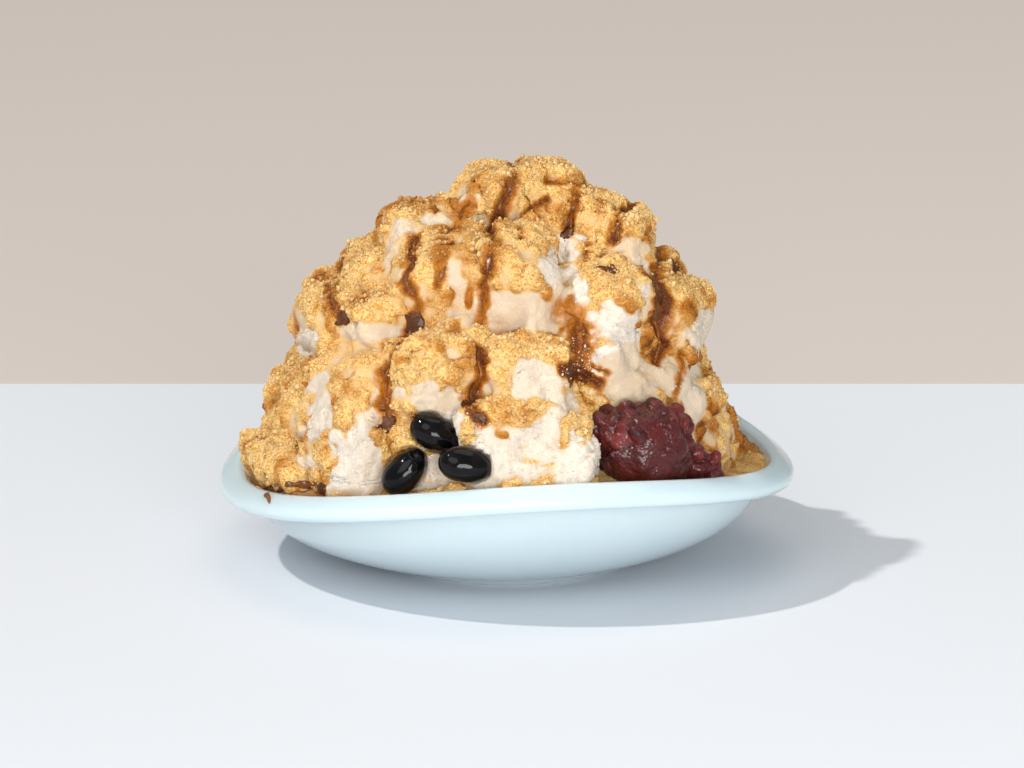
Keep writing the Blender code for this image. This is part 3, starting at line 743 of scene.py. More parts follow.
@dataclass(frozen=True)
class IceFinish:
    """Shaved ice with flour dusted over it, by the marks flour, soak and clean. The soak mark also holds
    painted shade.
    """

    clean: Colour = (0.69, 0.60, 0.51)
    creamy: Colour = (0.63, 0.465, 0.30)
    film: Colour = (0.73, 0.42, 0.12)
    flour_light: Colour = (0.86, 0.56, 0.225)
    flour_dark: Colour = (0.62, 0.30, 0.055)
    soaked: Colour = (0.44, 0.150, 0.009)
    syrup: Colour = (0.14, 0.030, 0.005)
    speckle: float = 0.5
    filmed: Ramp = Ramp(0.12, 0.55)
    film_share: float = 0.75
    covered: Ramp = Ramp(0.46, 0.66)
    pale_grains: Ramp = Ramp(0.32, 0.58)
    rough_ice: float = 0.38
    rougher_flour: float = 0.45
    glossier_syrup: float = 0.40
    relief: float = 0.0010
    relief_ice: float = 0.3
    relief_flour: float = 0.7

    def build(self, groups: Groups) -> Material:
        """Makes the material.

        Args:
            groups: The shader node groups.

        Returns:
            The material.
        """
        material, shading, shader = start_material("shaved_ice")
        grit = groups.place(shading, Effect.GRIT, Scale=1500.0, Coarse_Scale=330.0).outputs
        speckled = shading.math("ADD", shading.mark("flour"), shading.swing(grit["Tone"], self.speckle))
        cover = shading.step(speckled, self.covered)
        bare = shading.mix(shading.mark("clean"), self.creamy, self.clean)
        grains = shading.mix(shading.step(grit["Tone"], self.pale_grains), self.flour_dark, self.flour_light)
        film = shading.math("MULTIPLY", shading.step(speckled, self.filmed), self.film_share)
        dry = shading.mix(cover, shading.mix(film, bare, self.film), grains)
        # The soak mark darkens the colour for syrup and damp flour, and for the shade painted on the heap
        # and the bed.
        wetted = {"Soaked": self.soaked, "Syrup": self.syrup, "SoakAndShade": shading.mark("soak")}
        soak = groups.place(shading, Effect.SOAK_AND_SHADE, Dry=dry, **wetted).outputs
        rough = shading.math("ADD", self.rough_ice, shading.math("MULTIPLY", cover, self.rougher_flour))
        wet = shading.math("MULTIPLY", soak["Gloss"], self.glossier_syrup)
        share = shading.math("ADD", self.relief_ice, shading.math("MULTIPLY", cover, self.relief_flour))
        height = shading.math("MULTIPLY", grit["Height"], share)
        shading.fill(
            shader,
            Base_Color=soak["Color"],
            Roughness=shading.math("SUBTRACT", rough, wet, clamp=True),
            IOR=1.32,
            Subsurface_Weight=0.45,
            Subsurface_Radius=(1.0, 0.75, 0.5),
            Subsurface_Scale=0.0035,
            Normal=shading.bump(height, self.relief),
        )
        return material


@dataclass(frozen=True)
class FlourFinish:
    """Roasted soybean flour, by the marks tone and soak of each crumb; the soak also holds painted shade."""

    light: Colour = (0.91, 0.67, 0.345)
    dark: Colour = (0.68, 0.37, 0.095)
    soaked: Colour = (0.43, 0.150, 0.011)
    syrup: Colour = (0.16, 0.036, 0.006)
    tone_share: float = 0.6
    grit_share: float = 0.4
    rough: float = 0.85
    glossier_syrup: float = 0.55
    relief: float = 0.0004

    def build(self, groups: Groups) -> Material:
        """Makes the material.

        Args:
            groups: The shader node groups.

        Returns:
            The material.
        """
        material, shading, shader = start_material("soybean_flour")
        grit = groups.place(shading, Effect.GRIT, Scale=2600.0, Coarse_Scale=900.0).outputs
        share = shading.weighed(shading.mark("tone"), self.tone_share, grit["Tone"], self.grit_share)
        dry = shading.mix(share, self.dark, self.light)
        # The soak mark darkens the colour for syrup and damp flour, and for the shade painted on the heap
        # and the bed.
        wetted = {"Soaked": self.soaked, "Syrup": self.syrup, "SoakAndShade": shading.mark("soak")}
        soak = groups.place(shading, Effect.SOAK_AND_SHADE, Dry=dry, **wetted).outputs
        wet = shading.math("MULTIPLY", soak["Gloss"], self.glossier_syrup)
        shading.fill(
            shader,
            Base_Color=soak["Color"],
            Roughness=shading.math("SUBTRACT", self.rough, wet),
            Normal=shading.bump(grit["Height"], self.relief),
        )
        return material


@dataclass(frozen=True)
class FlakeFinish:
    """Clean flakes and grains of ice, by the mark tone of each."""

    clear: Colour = (0.86, 0.76, 0.65)
    dull: Colour = (0.78, 0.56, 0.33)
    relief: float = 0.0003

    def build(self, groups: Groups) -> Material:
        """Makes the material.

        Args:
            groups: The shader node groups.

        Returns:
            The material.
        """
        material, shading, shader = start_material("ice_flakes")
        wet = groups.place(shading, Effect.WET, Rough=0.32, Patchiness=0.35, Scale=900.0).outputs
        shading.fill(
            shader,
            Base_Color=shading.mix(shading.mark("tone"), self.dull, self.clear),
            Roughness=wet["Roughness"],
            IOR=1.31,
            Subsurface_Weight=0.55,
            Subsurface_Radius=(1.0, 0.95, 0.85),
            Subsurface_Scale=0.0025,
            Normal=shading.bump(wet["Height"], self.relief),
        )
        return material


@dataclass(frozen=True)
class SyrupFinish:
    """Dark sugar syrup, amber where it is thin, by the mark thick."""

    thin: Colour = (0.32, 0.092, 0.008)
    thick: Colour = (0.075, 0.019, 0.003)
    unevenness: float = 1.6
    relief: float = 0.0005

    def build(self, groups: Groups) -> Material:
        """Makes the material.

        Args:
            groups: The shader node groups.

        Returns:
            The material.
        """
        material, shading, shader = start_material("syrup")
        wet = groups.place(shading, Effect.WET, Rough=0.24, Patchiness=0.50, Scale=600.0).outputs
        uneven = shading.swing(wet["Height"], self.unevenness)
        depth = shading.math("ADD", shading.mark("thick"), uneven, clamp=True)
        shading.fill(
            shader,
            Base_Color=shading.mix(depth, self.thin, self.thick),
            Roughness=wet["Roughness"],
            IOR=1.34,
            Coat_Weight=0.15,
            Coat_Roughness=0.10,
            Subsurface_Weight=0.15,
            Subsurface_Radius=(1.0, 0.35, 0.1),
            Subsurface_Scale=0.002,
            Normal=shading.bump(wet["Height"], self.relief),
        )
        return material


@dataclass(frozen=True)
class PasteFinish:
    """Sweet bean paste and its beans, by the mark tone of each bean, with painted shade in the seams."""

    dark: Colour = (0.014, 0.0016, 0.002)
    light: Colour = (0.17, 0.026, 0.024)
    tone_share: float = 0.7
    grit_share: float = 0.35
    relief: float = 0.0004

    def build(self, groups: Groups) -> Material:
        """Makes the material.

        Args:
            groups: The shader node groups.

        Returns:
            The material.
        """
        material, shading, shader = start_material("bean_paste")
        grit = groups.place(shading, Effect.GRIT, Scale=900.0, Coarse_Scale=420.0).outputs
        wet = groups.place(shading, Effect.WET, Rough=0.16, Patchiness=0.30, Scale=350.0).outputs
        share = shading.weighed(shading.mark("tone"), self.tone_share, grit["Tone"], self.grit_share)
        shading.fill(
            shader,
            Base_Color=shading.mix(share, self.dark, self.light),
            Roughness=wet["Roughness"],
            IOR=1.38,
            Subsurface_Weight=0.12,
            Subsurface_Radius=(1.0, 0.25, 0.2),
            Subsurface_Scale=0.0015,
            Normal=shading.bump(grit["Height"], self.relief),
        )
        return material


@dataclass(frozen=True)
class BeanSkinFinish:
    """The black skin of a sweet-boiled soybean."""

    black: Colour = (0.002, 0.002, 0.0025)
    brown: Colour = (0.007, 0.004, 0.005)
    brown_scale: float = 260.0
    browned: Ramp = Ramp(0.4, 0.7)
    relief: float = 0.0002
    relief_strength: float = 0.5

    def build(self, groups: Groups) -> Material:
        """Makes the material.

        Args:
            groups: The shader node groups.

        Returns:
            The material.
        """
        material, shading, shader = start_material("black_skin")
        wet = groups.place(shading, Effect.WET, Rough=0.06, Patchiness=0.10, Scale=420.0).outputs
        share = shading.step(shading.noise(self.brown_scale), self.browned)
        shading.fill(
            shader,
            Base_Color=shading.mix(share, self.black, self.brown),
            Roughness=wet["Roughness"],
            IOR=1.30,
            Normal=shading.bump(wet["Height"], self.relief, self.relief_strength),
        )
        return material


@dataclass(frozen=True)
class MilkGlassFinish:
    """Opaque pale aqua milk glass, cast smooth."""

    pale: Colour = (0.555, 0.655, 0.70)
    deep: Colour = (0.525, 0.63, 0.68)
    cloud_scale: float = 22.0
    cloud_detail: float = 2.0
    relief: float = 0.0002
    relief_strength: float = 0.35

    def build(self, groups: Groups) -> Material:
        """Makes the material.

        Args:
            groups: The shader node groups.

        Returns:
            The material.
        """
        material, shading, shader = start_material("milk_glass")
        wet = groups.place(shading, Effect.WET, Rough=0.07, Patchiness=0.06, Scale=60.0).outputs
        clouds = shading.noise(self.cloud_scale, self.cloud_detail)
        shading.fill(
            shader,
            Base_Color=shading.mix(clouds, self.pale, self.deep),
            Roughness=wet["Roughness"],
            IOR=1.5,
            Coat_Weight=0.1,
            Coat_Roughness=0.03,
            Subsurface_Weight=0.8,
            Subsurface_Radius=(0.8, 0.95, 1.0),
            Subsurface_Scale=0.012,
            Normal=shading.bump(wet["Height"], self.relief, self.relief_strength),
        )
        return material


# ---- dish


@dataclass
class Dish:
    """The shallow dish of milk glass: a rolled lip that overhangs a smooth bowl on a small foot."""

    rim_radius_mean: float = 0.0953
    rim_height_mean: float = 0.0344
    rim_fourfold: float = 0.0009
    rim_fourfold_at: float = math.radians(61)
    rim_sweep: float = 0.0069
    rim_sweep_at: float = math.radians(96)
    rim_tilt: float = 0.0022
    rim_tilt_at: float = math.radians(15)
    nose_radius: float = 0.0027
    nose_degrees: Span = (-110, 40)
    crest_radius: float = 0.0022
    crest_degrees: Span = (50, 170)
    crest_inset: float = 0.0062
    crest_rise: float = 0.0029
    body_inset: float = 0.0125
    body_drop: float = 0.0040
    wall_inset: float = 0.0086
    wall_rise: float = 0.0026
    shelf_inset: float = 0.0102
    knee_inset: float = 0.0158
    knee_drop: float = 0.0014
    foot_radius: float = 0.0400
    foot_ring: float = 0.0060
    foot_recess: float = 0.0014
    foot_rounding: float = 0.0006
    body_start: Span = (0.0412, 0.0022)
    floor_start: Span = (0.0380, 0.0062)
    bowl_power_low: float = 1.35
    bowl_power_high: float = 2.05
    segments: int = 240
    belly_steps: int = 30
    nose_steps: int = 13
    crest_steps: int = 9
    wall_steps: int = 22

    def rim_radius(self, azimuth: Array) -> Array:
        """Radius of the lip's nose at azimuths."""
        return self.rim_radius_mean + self.rim_fourfold * np.cos(4 * (azimuth - self.rim_fourfold_at))

    def rim_height(self, azimuth: Array) -> Array:
        """Height of the lip's nose at azimuths."""
        sweep = self.rim_sweep * np.cos(2 * (azimuth - self.rim_sweep_at))
        return self.rim_height_mean + sweep + self.rim_tilt * np.cos(azimuth - self.rim_tilt_at)

    def bowl_rise(self, share: Array) -> Array:
        """Share of the height reached at a share of the way out from the foot to the lip."""
        return 1.0 - (1.0 - share**self.bowl_power_low) ** (1.0 / self.bowl_power_high)

    def wall_top(self, azimuth: Array) -> tuple[Array, Array]:
        """Radius and height at which the inner wall meets the lip."""
        return self.rim_radius(azimuth) - self.wall_inset, self.rim_height(azimuth) + self.wall_rise

    def shelf(self, azimuth: Array) -> tuple[Array, Array]:
        """Radius and height of the outer end of the shelf inside the lip."""
        return self.rim_radius(azimuth) - self.shelf_inset, self.rim_height(azimuth)

    def knee(self, azimuth: Array) -> tuple[Array, Array]:
        """Radius and height of the knee, where the shelf ends and the bowl turns down."""
        return self.rim_radius(azimuth) - self.knee_inset, self.rim_height(azimuth) - self.knee_drop

    def inner_surface(self, radius: Array, azimuth: Array) -> Array:
        """The inner surface: bowl, then shelf, then wall.

        Args:
            radius: Distances from the dish's axis.
            azimuth: Angles round it.

        Returns:
            The heights there.
        """
        wall_radius, wall_height = self.wall_top(azimuth)
        shelf_radius, shelf_height = self.shelf(azimuth)
        knee_radius, knee_height = self.knee(azimuth)
        start, low = self.floor_start
        bowl = self.bowl_rise(np.clip((radius - start) / (knee_radius - start), 0.0, 1.0))
        ledge = np.clip((radius - knee_radius) / (shelf_radius - knee_radius), 0.0, 1.0)
        wall = np.clip((radius - shelf_radius) / (wall_radius - shelf_radius), 0.0, 1.0)
        height = low + (knee_height - low) * bowl + (shelf_height - knee_height) * ledge
        return height + (wall_height - shelf_height) * wall

    def foot_section(self) -> list[Span]:
        """The foot's section.

        Returns:
            Its radii and heights, from the recess outwards.
        """
        inner, outer, recess = self.foot_radius - self.foot_ring, self.foot_radius, self.foot_recess
        rounding = self.foot_rounding
        return [
            (inner - recess - rounding, recess),
            (inner - recess, recess - rounding / 3),
            (inner - rounding / 3, rounding / 2),
            (inner + rounding, 0.0),
            (outer - rounding, 0.0),
            (outer + rounding / 2, rounding / 2),
        ]

    def section(self, azimuth: Array) -> list[tuple[Array, Array]]:
        """The dish's section, from under the foot over the lip and inwards.

        Args:
            azimuth: Angles round the dish.

        Returns:
            Radii and heights at these angles, step by step along the section.
        """
        radius = self.rim_radius(azimuth)
        height = self.rim_height(azimuth)
        flat = np.ones_like(azimuth)
        points = [(flat * out, flat * up) for out, up in self.foot_section()]
        start, low = self.body_start
        top_radius = radius - self.body_inset
        top_height = height - self.body_drop
        for step in range(self.belly_steps + 1):
            share = np.full_like(azimuth, math.sin(math.pi / 2 * step / self.belly_steps))
            rise = (top_height - low) * self.bowl_rise(share)
            points.append((start + (top_radius - start) * share, low + rise))
        for angle in np.radians(np.linspace(*self.nose_degrees, self.nose_steps)):
            reach = self.nose_radius
            points.append((radius - reach + reach * math.cos(angle), height + reach * math.sin(angle)))
        for angle in np.radians(np.linspace(*self.crest_degrees, self.crest_steps)):
            out = radius - self.crest_inset + self.crest_radius * math.cos(angle)
            points.append((out, height + self.crest_rise + self.crest_radius * math.sin(angle)))
        points += [self.wall_top(azimuth), self.shelf(azimuth)]
        knee_radius, _ = self.knee(azimuth)
        for step in range(self.wall_steps + 1):
            share = math.cos(math.pi / 2 * step / self.wall_steps)
            out = self.floor_start[0] + (knee_radius - self.floor_start[0]) * share
            points.append((out, self.inner_surface(out, azimuth)))
        return points

    def build(self, material: Material) -> tuple[Piece, Skin]:
        """Makes the dish.

        Args:
            material: The milk glass.

        Returns:
            The piece, which stands for the dish's solid, and its skin.
        """
        azimuth = np.linspace(0.0, 2 * math.pi, self.segments, endpoint=False)
        rows = [ring(radius, azimuth, height) for radius, height in self.section(azimuth)]
        middles = [[(0.0, 0.0, self.foot_recess)], [(0.0, 0.0, self.floor_start[1])]]
        vertices = np.concatenate([*rows, *middles])
        around = np.arange(self.segments)
        onward = (around + 1) % self.segments
        last = (len(rows) - 1) * self.segments
        under = np.full_like(around, len(vertices) - 2)
        floor = np.full_like(around, len(vertices) - 1)
        faces = [
            band_faces(len(rows), self.segments),
            np.stack([onward, around, under], axis=1),
            np.stack([last + around, last + onward, floor], axis=1),
        ]
        skin = Skin(vertices, np.concatenate(faces), {})
        piece = mesh_piece("milk_glass_dish", vertices, skin.faces, material)
        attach(piece, BODY)
        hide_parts("dish")
        return piece, skin


# ---- black soybeans


@dataclass
class BlackBean:
    """A sweet-boiled black soybean, plump, with a soft crease and fine wrinkles."""

    number: int
    place: Triple
    turns: Triple
    length: float
    width: float = 0.0128
    thickness: float = 0.0122
    taper: float = 0.16
    plumpness: float = 0.04
    girth_limit: float = 1.3
    tip: float = 0.0
    tip_along: Ramp = Ramp(0.86, 1.0)
    ragged: float = 0.00005
    ragged_cell: float = 0.0016
    ragged_along: Ramp = Ramp(0.1, 0.8)
    wrinkle: float = 0.00012
    wrinkle_cell: float = 0.0040
    fine_wrinkle: float = 0.00004
    fine_wrinkle_cell: float = 0.0012
    fine_wrinkle_squeeze: Triple = (0.6, 1.6, 1.6)
    first_seed: int = 160

    def turned(self) -> Array:
        """The bean's rotation matrix."""
        return np.array(Euler([math.radians(turn) for turn in self.turns]).to_matrix())

    def half_sizes(self) -> Array:
        """Half the bean's length, width and thickness."""
        return np.array((self.length, self.width, self.thickness)) / 2

    def build(self, material: Material) -> Piece:
        """Makes the bean.

        Args:
            material: The black skin.

        Returns:
            The piece, which stands for the bean's solid.
        """
        base, faces = ball(5)
        along = base[:, 0]
        girth = np.maximum(1.0 - along**2, 0.0) ** -self.plumpness * (1.0 - self.taper * (along + 1.0) / 2)
        girth = np.minimum(girth, self.girth_limit)
        local = np.stack([along, base[:, 1] * girth, base[:, 2] * girth], axis=1) * self.half_sizes()
        seed = self.first_seed + self.number
        squeezed = local * self.fine_wrinkle_squeeze
        lift = self.wrinkle * Noise(self.wrinkle_cell, seed).at(local)
        lift += self.fine_wrinkle * Noise(self.fine_wrinkle_cell, seed + 9).at(squeezed)
        lift += self.ragged * self.ragged_along.at(along) * Noise(self.ragged_cell, seed + 5).at(local)
        local = local + skin_normals(local, faces) * lift[:, None]
        local[:, 0] += self.tip * self.tip_along.at(along)
        vertices = local @ self.turned().T + np.array(self.place)
        piece = mesh_piece(f"soybean_{self.number}", vertices, faces, material)
        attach(piece, BODY)
        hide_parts(f"black_bean_{self.number}")
        return piece


BLACK_BEANS = (
    BlackBean(1, (-0.0228, -0.0705, 0.0588), (10, 28, -8), 0.0165, tip=0.0012, ragged=0.00012),
    BlackBean(2, (-0.0322, -0.0725, 0.0466), (20, -48, 6), 0.0175, ragged=0.00035),
    BlackBean(3, (-0.0130, -0.0812, 0.0511), (15, 12, 6), 0.0172),
)


# Places and half sizes of the lumps of bean paste, the largest first.
PASTE_LUMPS = (
    ((0.0435, -0.0585, 0.0510), (0.0152, 0.0136, 0.0145)),
    ((0.0350, -0.0590, 0.0560), (0.0085, 0.0085, 0.0080)),
    ((0.0520, -0.0540, 0.0535), (0.0080, 0.0085, 0.0082)),
    ((0.0515, -0.0545, 0.0452), (0.0095, 0.0103, 0.0088)),
    ((0.0585, -0.0485, 0.0420), (0.0092, 0.0078, 0.0068)),
)


# ---- form of the heap


class Block(NamedTuple):
    """A rounded block of ice: its centre, its size and its turn about Z in degrees."""

    x: float
    y: float
    z: float
    width: float
    depth: float
    height: float
    turn: float


FRONT_BLOCKS = (
    Block(-0.0080, -0.005, 0.1210, 0.018, 0.026, 0.023, 8),
    Block(0.0115, -0.003, 0.1190, 0.024, 0.026, 0.024, -6),
    Block(0.0350, -0.010, 0.1080, 0.027, 0.028, 0.022, -14),
    Block(0.0435, -0.008, 0.0950, 0.021, 0.028, 0.022, -14),
    Block(-0.0265, -0.010, 0.1090, 0.023, 0.026, 0.022, 12),
    Block(-0.0410, -0.010, 0.0925, 0.021, 0.030, 0.023, 16),
    Block(-0.0525, -0.013, 0.0850, 0.026, 0.036, 0.022, 18),
    Block(0.003, -0.037, 0.1010, 0.023, 0.026, 0.026, 2),
    Block(-0.022, -0.033, 0.0960, 0.030, 0.028, 0.027, 10),
    Block(-0.041, -0.031, 0.0845, 0.026, 0.028, 0.027, 24),
    Block(0.034, -0.033, 0.0920, 0.024, 0.028, 0.026, -22),
    Block(0.031, -0.043, 0.0790, 0.018, 0.028, 0.024, -18),
    Block(0.052, -0.012, 0.0790, 0.024, 0.036, 0.030, -16),
    Block(-0.022, -0.050, 0.0765, 0.029, 0.032, 0.022, 12),
    Block(0.009, -0.051, 0.0770, 0.027, 0.032, 0.020, -4),
    Block(-0.044, -0.042, 0.0670, 0.027, 0.032, 0.023, 26),
    Block(0.003, -0.058, 0.0625, 0.037, 0.034, 0.017, 0),
    Block(0.009, -0.062, 0.0490, 0.041, 0.042, 0.026, -3),
    Block(-0.022, -0.056, 0.0490, 0.030, 0.030, 0.024, 8),
    Block(-0.047, -0.049, 0.0500, 0.029, 0.034, 0.032, 28),
    Block(-0.0625, -0.018, 0.0545, 0.024, 0.036, 0.022, 14),
    Block(-0.064, -0.028, 0.0360, 0.038, 0.046, 0.024, 18),
    Block(0.060, -0.014, 0.0485, 0.019, 0.034, 0.030, -12),
    Block(0.066, -0.008, 0.0370, 0.019, 0.034, 0.022, -8),
)


@dataclass
class HeapForm:
    """The form of the heap as a distance field: rounded blocks melted into a dome."""

    dish: Dish
    centre: Triple = (0.0, 0.0, 0.040)
    core_gap: float = 0.0012
    core_slope: float = 0.6
    ice_gap: float = 0.0006
    overhang_slope: float = 0.8
    half_width: float = 0.0720
    half_depth: float = 0.0700
    foot: float = 0.0220
    top: float = 0.1170
    power: float = 2.2
    height_limit: float = 1.2
    rounding: float = 0.0070
    blend: float = 0.0045
    block_slope: float = 0.30
    warp: float = 0.0038
    warp_cell: float = 0.0210
    warp_seeds: Seeds = (3, 4, 5)
    relief: float = 0.0016
    relief_noise: Noise = Noise(0.0085, 1)
    fine_relief: float = 0.0009
    fine_noise: Noise = Noise(0.0045, 2)
    back_rings: tuple[tuple[float, int], ...] = ((0.038, 7), (0.055, 7), (0.072, 6), (0.088, 5), (0.102, 3))
    back_from: float = math.radians(20)
    back_to: float = math.radians(168)
    back_unevenness: float = 0.15
    back_start: float = 0.25
    back_width: Span = (0.020, 0.032)
    back_height: Span = (0.018, 0.026)
    back_depth: float = 0.034
    back_proud: Span = (-0.001, 0.006)
    back_lift: float = 0.006
    back_turn: float = 14.0
    back_seed: int = 11
    march_start: float = 0.115
    march_share: float = 0.6
    march_least: float = 0.00006
    march_close: float = 0.00015
    topping_gap: float = 0.0002

    def __post_init__(self) -> None:
        """Lists the blocks."""
        self.blocks = [*FRONT_BLOCKS, *self.back_blocks()]

    def back_blocks(self) -> list[Block]:
        """The blocks at the back and sides, ring by ring, of uneven size.

        Returns:
            The blocks.
        """
        draw = np.random.default_rng(self.back_seed)
        blocks = []
        for level, (height, count) in enumerate(self.back_rings):
            share = (height - self.foot) / (self.top - self.foot)
            reach = math.sqrt(1.0 - share**self.power)
            for number in range(count):
                uneven = draw.uniform(-self.back_unevenness, self.back_unevenness)
                step = (number + 0.5 * (level % 2) + uneven) / count
                way = min(max(step + self.back_start / count, 0.0), 1.0)
                azimuth = self.back_from + (self.back_to - self.back_from) * way
                width = draw.uniform(*self.back_width)
                tall = draw.uniform(*self.back_height)
                sunk = 0.5 * self.back_depth - draw.uniform(*self.back_proud)
                x = (self.half_width * reach - sunk) * math.cos(azimuth)
                y = (self.half_depth * reach - sunk) * math.sin(azimuth)
                z = height + draw.uniform(-self.back_lift, self.back_lift)
                turn = math.degrees(azimuth) - 90 + draw.uniform(-self.back_turn, self.back_turn)
                blocks.append(Block(x, y, z, width, self.back_depth, tall, turn))
        return blocks

    def block_distance(self, points: Array, block: Block) -> Array:
        """Distance from points to a rounded block, whose top slopes down outwards.

        Args:
            points: Places, one per row.
            block: The block.

        Returns:
            One distance for each point.
        """
        turn = math.radians(block.turn)
        x = points[:, 0] - block.x
        y = points[:, 1] - block.y
        along = x * math.cos(turn) + y * math.sin(turn)
        across = y * math.cos(turn) - x * math.sin(turn)
        out = np.hypot(points[:, 0], points[:, 1]) - math.hypot(block.x, block.y)
        local = np.stack([along, across, points[:, 2] - block.z + self.block_slope * out], axis=1)
        half = np.array((block.width, block.depth, block.height)) / 2 - self.rounding
        beyond = np.abs(local) - half
        outside = np.linalg.norm(np.maximum(beyond, 0.0), axis=1)
        return outside + np.minimum(beyond.max(axis=1), 0.0) - self.rounding

    def distance(self, points: Array) -> Array:
        """Rough distance from points to the heap.

        Args:
            points: Places, one per row.

        Returns:
            One distance for each point, less than 0 inside the heap.
        """
        bent = points + self.warp * drift(points, self.warp_cell, self.warp_seeds)
        share = np.clip((bent[:, 2] - self.foot) / (self.top - self.foot), 0.0, self.height_limit)
        level = np.hypot(bent[:, 0] / self.half_width, bent[:, 1] / self.half_depth) ** 2
        heap = (np.sqrt(level + share**self.power) - 1.0) * self.half_depth
        for block in self.blocks:
            heap = smooth_union(heap, self.block_distance(bent, block), self.blend)
        heap = heap - self.relief * self.relief_noise.at(points)
        heap = heap - self.fine_relief * self.fine_noise.at(points)
        heap = np.maximum(heap, self.topping_gap - self.topping_distance(points))
        return np.maximum(heap, self.dish_limit(points))

    def dish_limit(self, points: Array) -> Array:
        """How far points lie outside the space that the dish leaves for the food.

        Args:
            points: Places, one per row.

        Returns:
            One distance for each point.
        """
        radius = np.hypot(points[:, 0], points[:, 1])
        azimuth = np.arctan2(points[:, 1], points[:, 0])
        wall_radius, wall_height = self.dish.wall_top(azimuth)
        knee_radius, knee_height = self.dish.knee(azimuth)
        under_bed = knee_height - self.core_slope * (knee_radius - np.minimum(radius, knee_radius))
        lowest = np.maximum(self.dish.inner_surface(radius, azimuth), under_bed) + self.core_gap
        above = points[:, 2] - (wall_height + self.dish.crest_radius + self.ice_gap)
        overhang = np.clip(self.overhang_slope * above, 0.0, self.dish.wall_inset - self.dish.crest_inset)
        side = radius - (wall_radius - self.core_gap) - overhang
        return np.maximum(np.where(above < 0.0, lowest - points[:, 2], -1.0), side)

    @staticmethod
    def topping_distance(points: Array) -> Array:
        """Rough distance from points to the beans and the paste that are pressed into the heap.

        Args:
            points: Places, one per row.

        Returns:
            One distance for each point.
        """
        nearest = np.full(len(points), 1.0)
        for bean in BLACK_BEANS:
            half = bean.half_sizes()
            local = (points - np.array(bean.place)) @ bean.turned()
            nearest = np.minimum(nearest, (np.linalg.norm(local / half, axis=1) - 1.0) * half.min())
        for place, size in PASTE_LUMPS:
            local = (points - np.array(place)) / np.array(size)
            nearest = np.minimum(nearest, (np.linalg.norm(local, axis=1) - 1.0) * min(size))
        return nearest

    def reach(self, directions: Array) -> Array:
        """How far the heap reaches from its centre, found from the outside.

        Args:
            directions: Directions of length 1, one per row.

        Returns:
            One distance for each direction.
        """
        centre = np.array(self.centre)
        reach = np.full(len(directions), self.march_start)
        live = np.arange(len(directions))
        while len(live):
            distance = self.distance(centre + directions[live] * reach[live][:, None])
            reach[live] -= np.maximum(distance, self.march_least) * self.march_share
            live = live[distance > self.march_close]
        return reach


# ---- what shows where on the heap


class Bare(NamedTuple):
    """A place where ice shows through the flour: its middle, half sizes and how bare and clean it is."""

    right: float
    up: float
    half_width: float
    half_height: float
    bare: float
    clean: float


BARE_PLACES = (
    # upper left and crown
    Bare(-31, 108.8, 8, 3, 0.7, 0.5),
    Bare(-24.5, 112.5, 4, 4, 0.6, 0.5),
    Bare(-11, 108.8, 4.5, 4.5, 0.6, 0.4),
    Bare(-13.5, 119, 3.5, 3, 0.5, 0.5),
    Bare(1.8, 108.8, 3, 4, 0.5, 0.4),
    Bare(-17.5, 98.5, 2.5, 7, 0.5, 0.3),
    Bare(-37, 99, 3.5, 4, 0.5, 0.2),
    # centre and right
    Bare(20.5, 95, 7, 9, 1, 0.9),
    Bare(6, 80.5, 12.5, 5.5, 0.9, 0.3),
    Bare(-16, 76.5, 7.5, 3.5, 0.7, 0.1),
    Bare(22.5, 85, 6, 5.5, 1, 0.3),
    Bare(25, 87, 2.8, 4, 1, 1),
    Bare(41, 101.2, 5, 3.5, 0.9, 0.1),
    Bare(45, 92.5, 4.5, 5.5, 0.9, 0.6),
    Bare(34, 68, 8.5, 13, 1.1, 1),
    Bare(42, 57, 9, 11, 1.1, 0.2),
    Bare(54, 59, 6, 7, 0.8, 0.2),
    Bare(64.5, 75, 5, 5, 0.9, 0.6),
    Bare(61.5, 53, 4, 9, 1, 0.5),
    Bare(9.5, 58.5, 9.5, 7.5, 0.9, 0.6),
    Bare(19.5, 48, 4.5, 4, 0.8, 0.6),
    # foot, front
    Bare(8, 32, 21, 10, 0.95, 0.8),
    Bare(25.5, 33, 5, 8.5, 1.2, 1),
    Bare(-15, 46.5, 5.5, 5.5, 1.1, 0.9),
    Bare(-18, 28, 10, 7, 1.1, 0.9),
    Bare(-24, 51.5, 9.5, 4, 1, 0.4),
    # left
    Bare(-65.5, 70, 4.5, 3.5, 0.9, 0.8),
    Bare(-62.5, 47.5, 4.2, 9, 1, 0.8),
    Bare(-52, 30.5, 9, 11.5, 1.1, 0.9),
    Bare(-43.5, 45.5, 3, 6.5, 0.8, 0.4),
    Bare(-70.5, 29, 6, 2.8, 0.7, 0.5),
    Bare(-44, 73.5, 8.5, 3, 0.7, 0.3),
    Bare(-44, 30, 3, 9, 0.9, 0.8),
)


class Heaped(NamedTuple):
    """A place where flour lies thick: its middle, half sizes and how thick it lies."""

    right: float
    up: float
    half_width: float
    half_height: float
    heaped: float


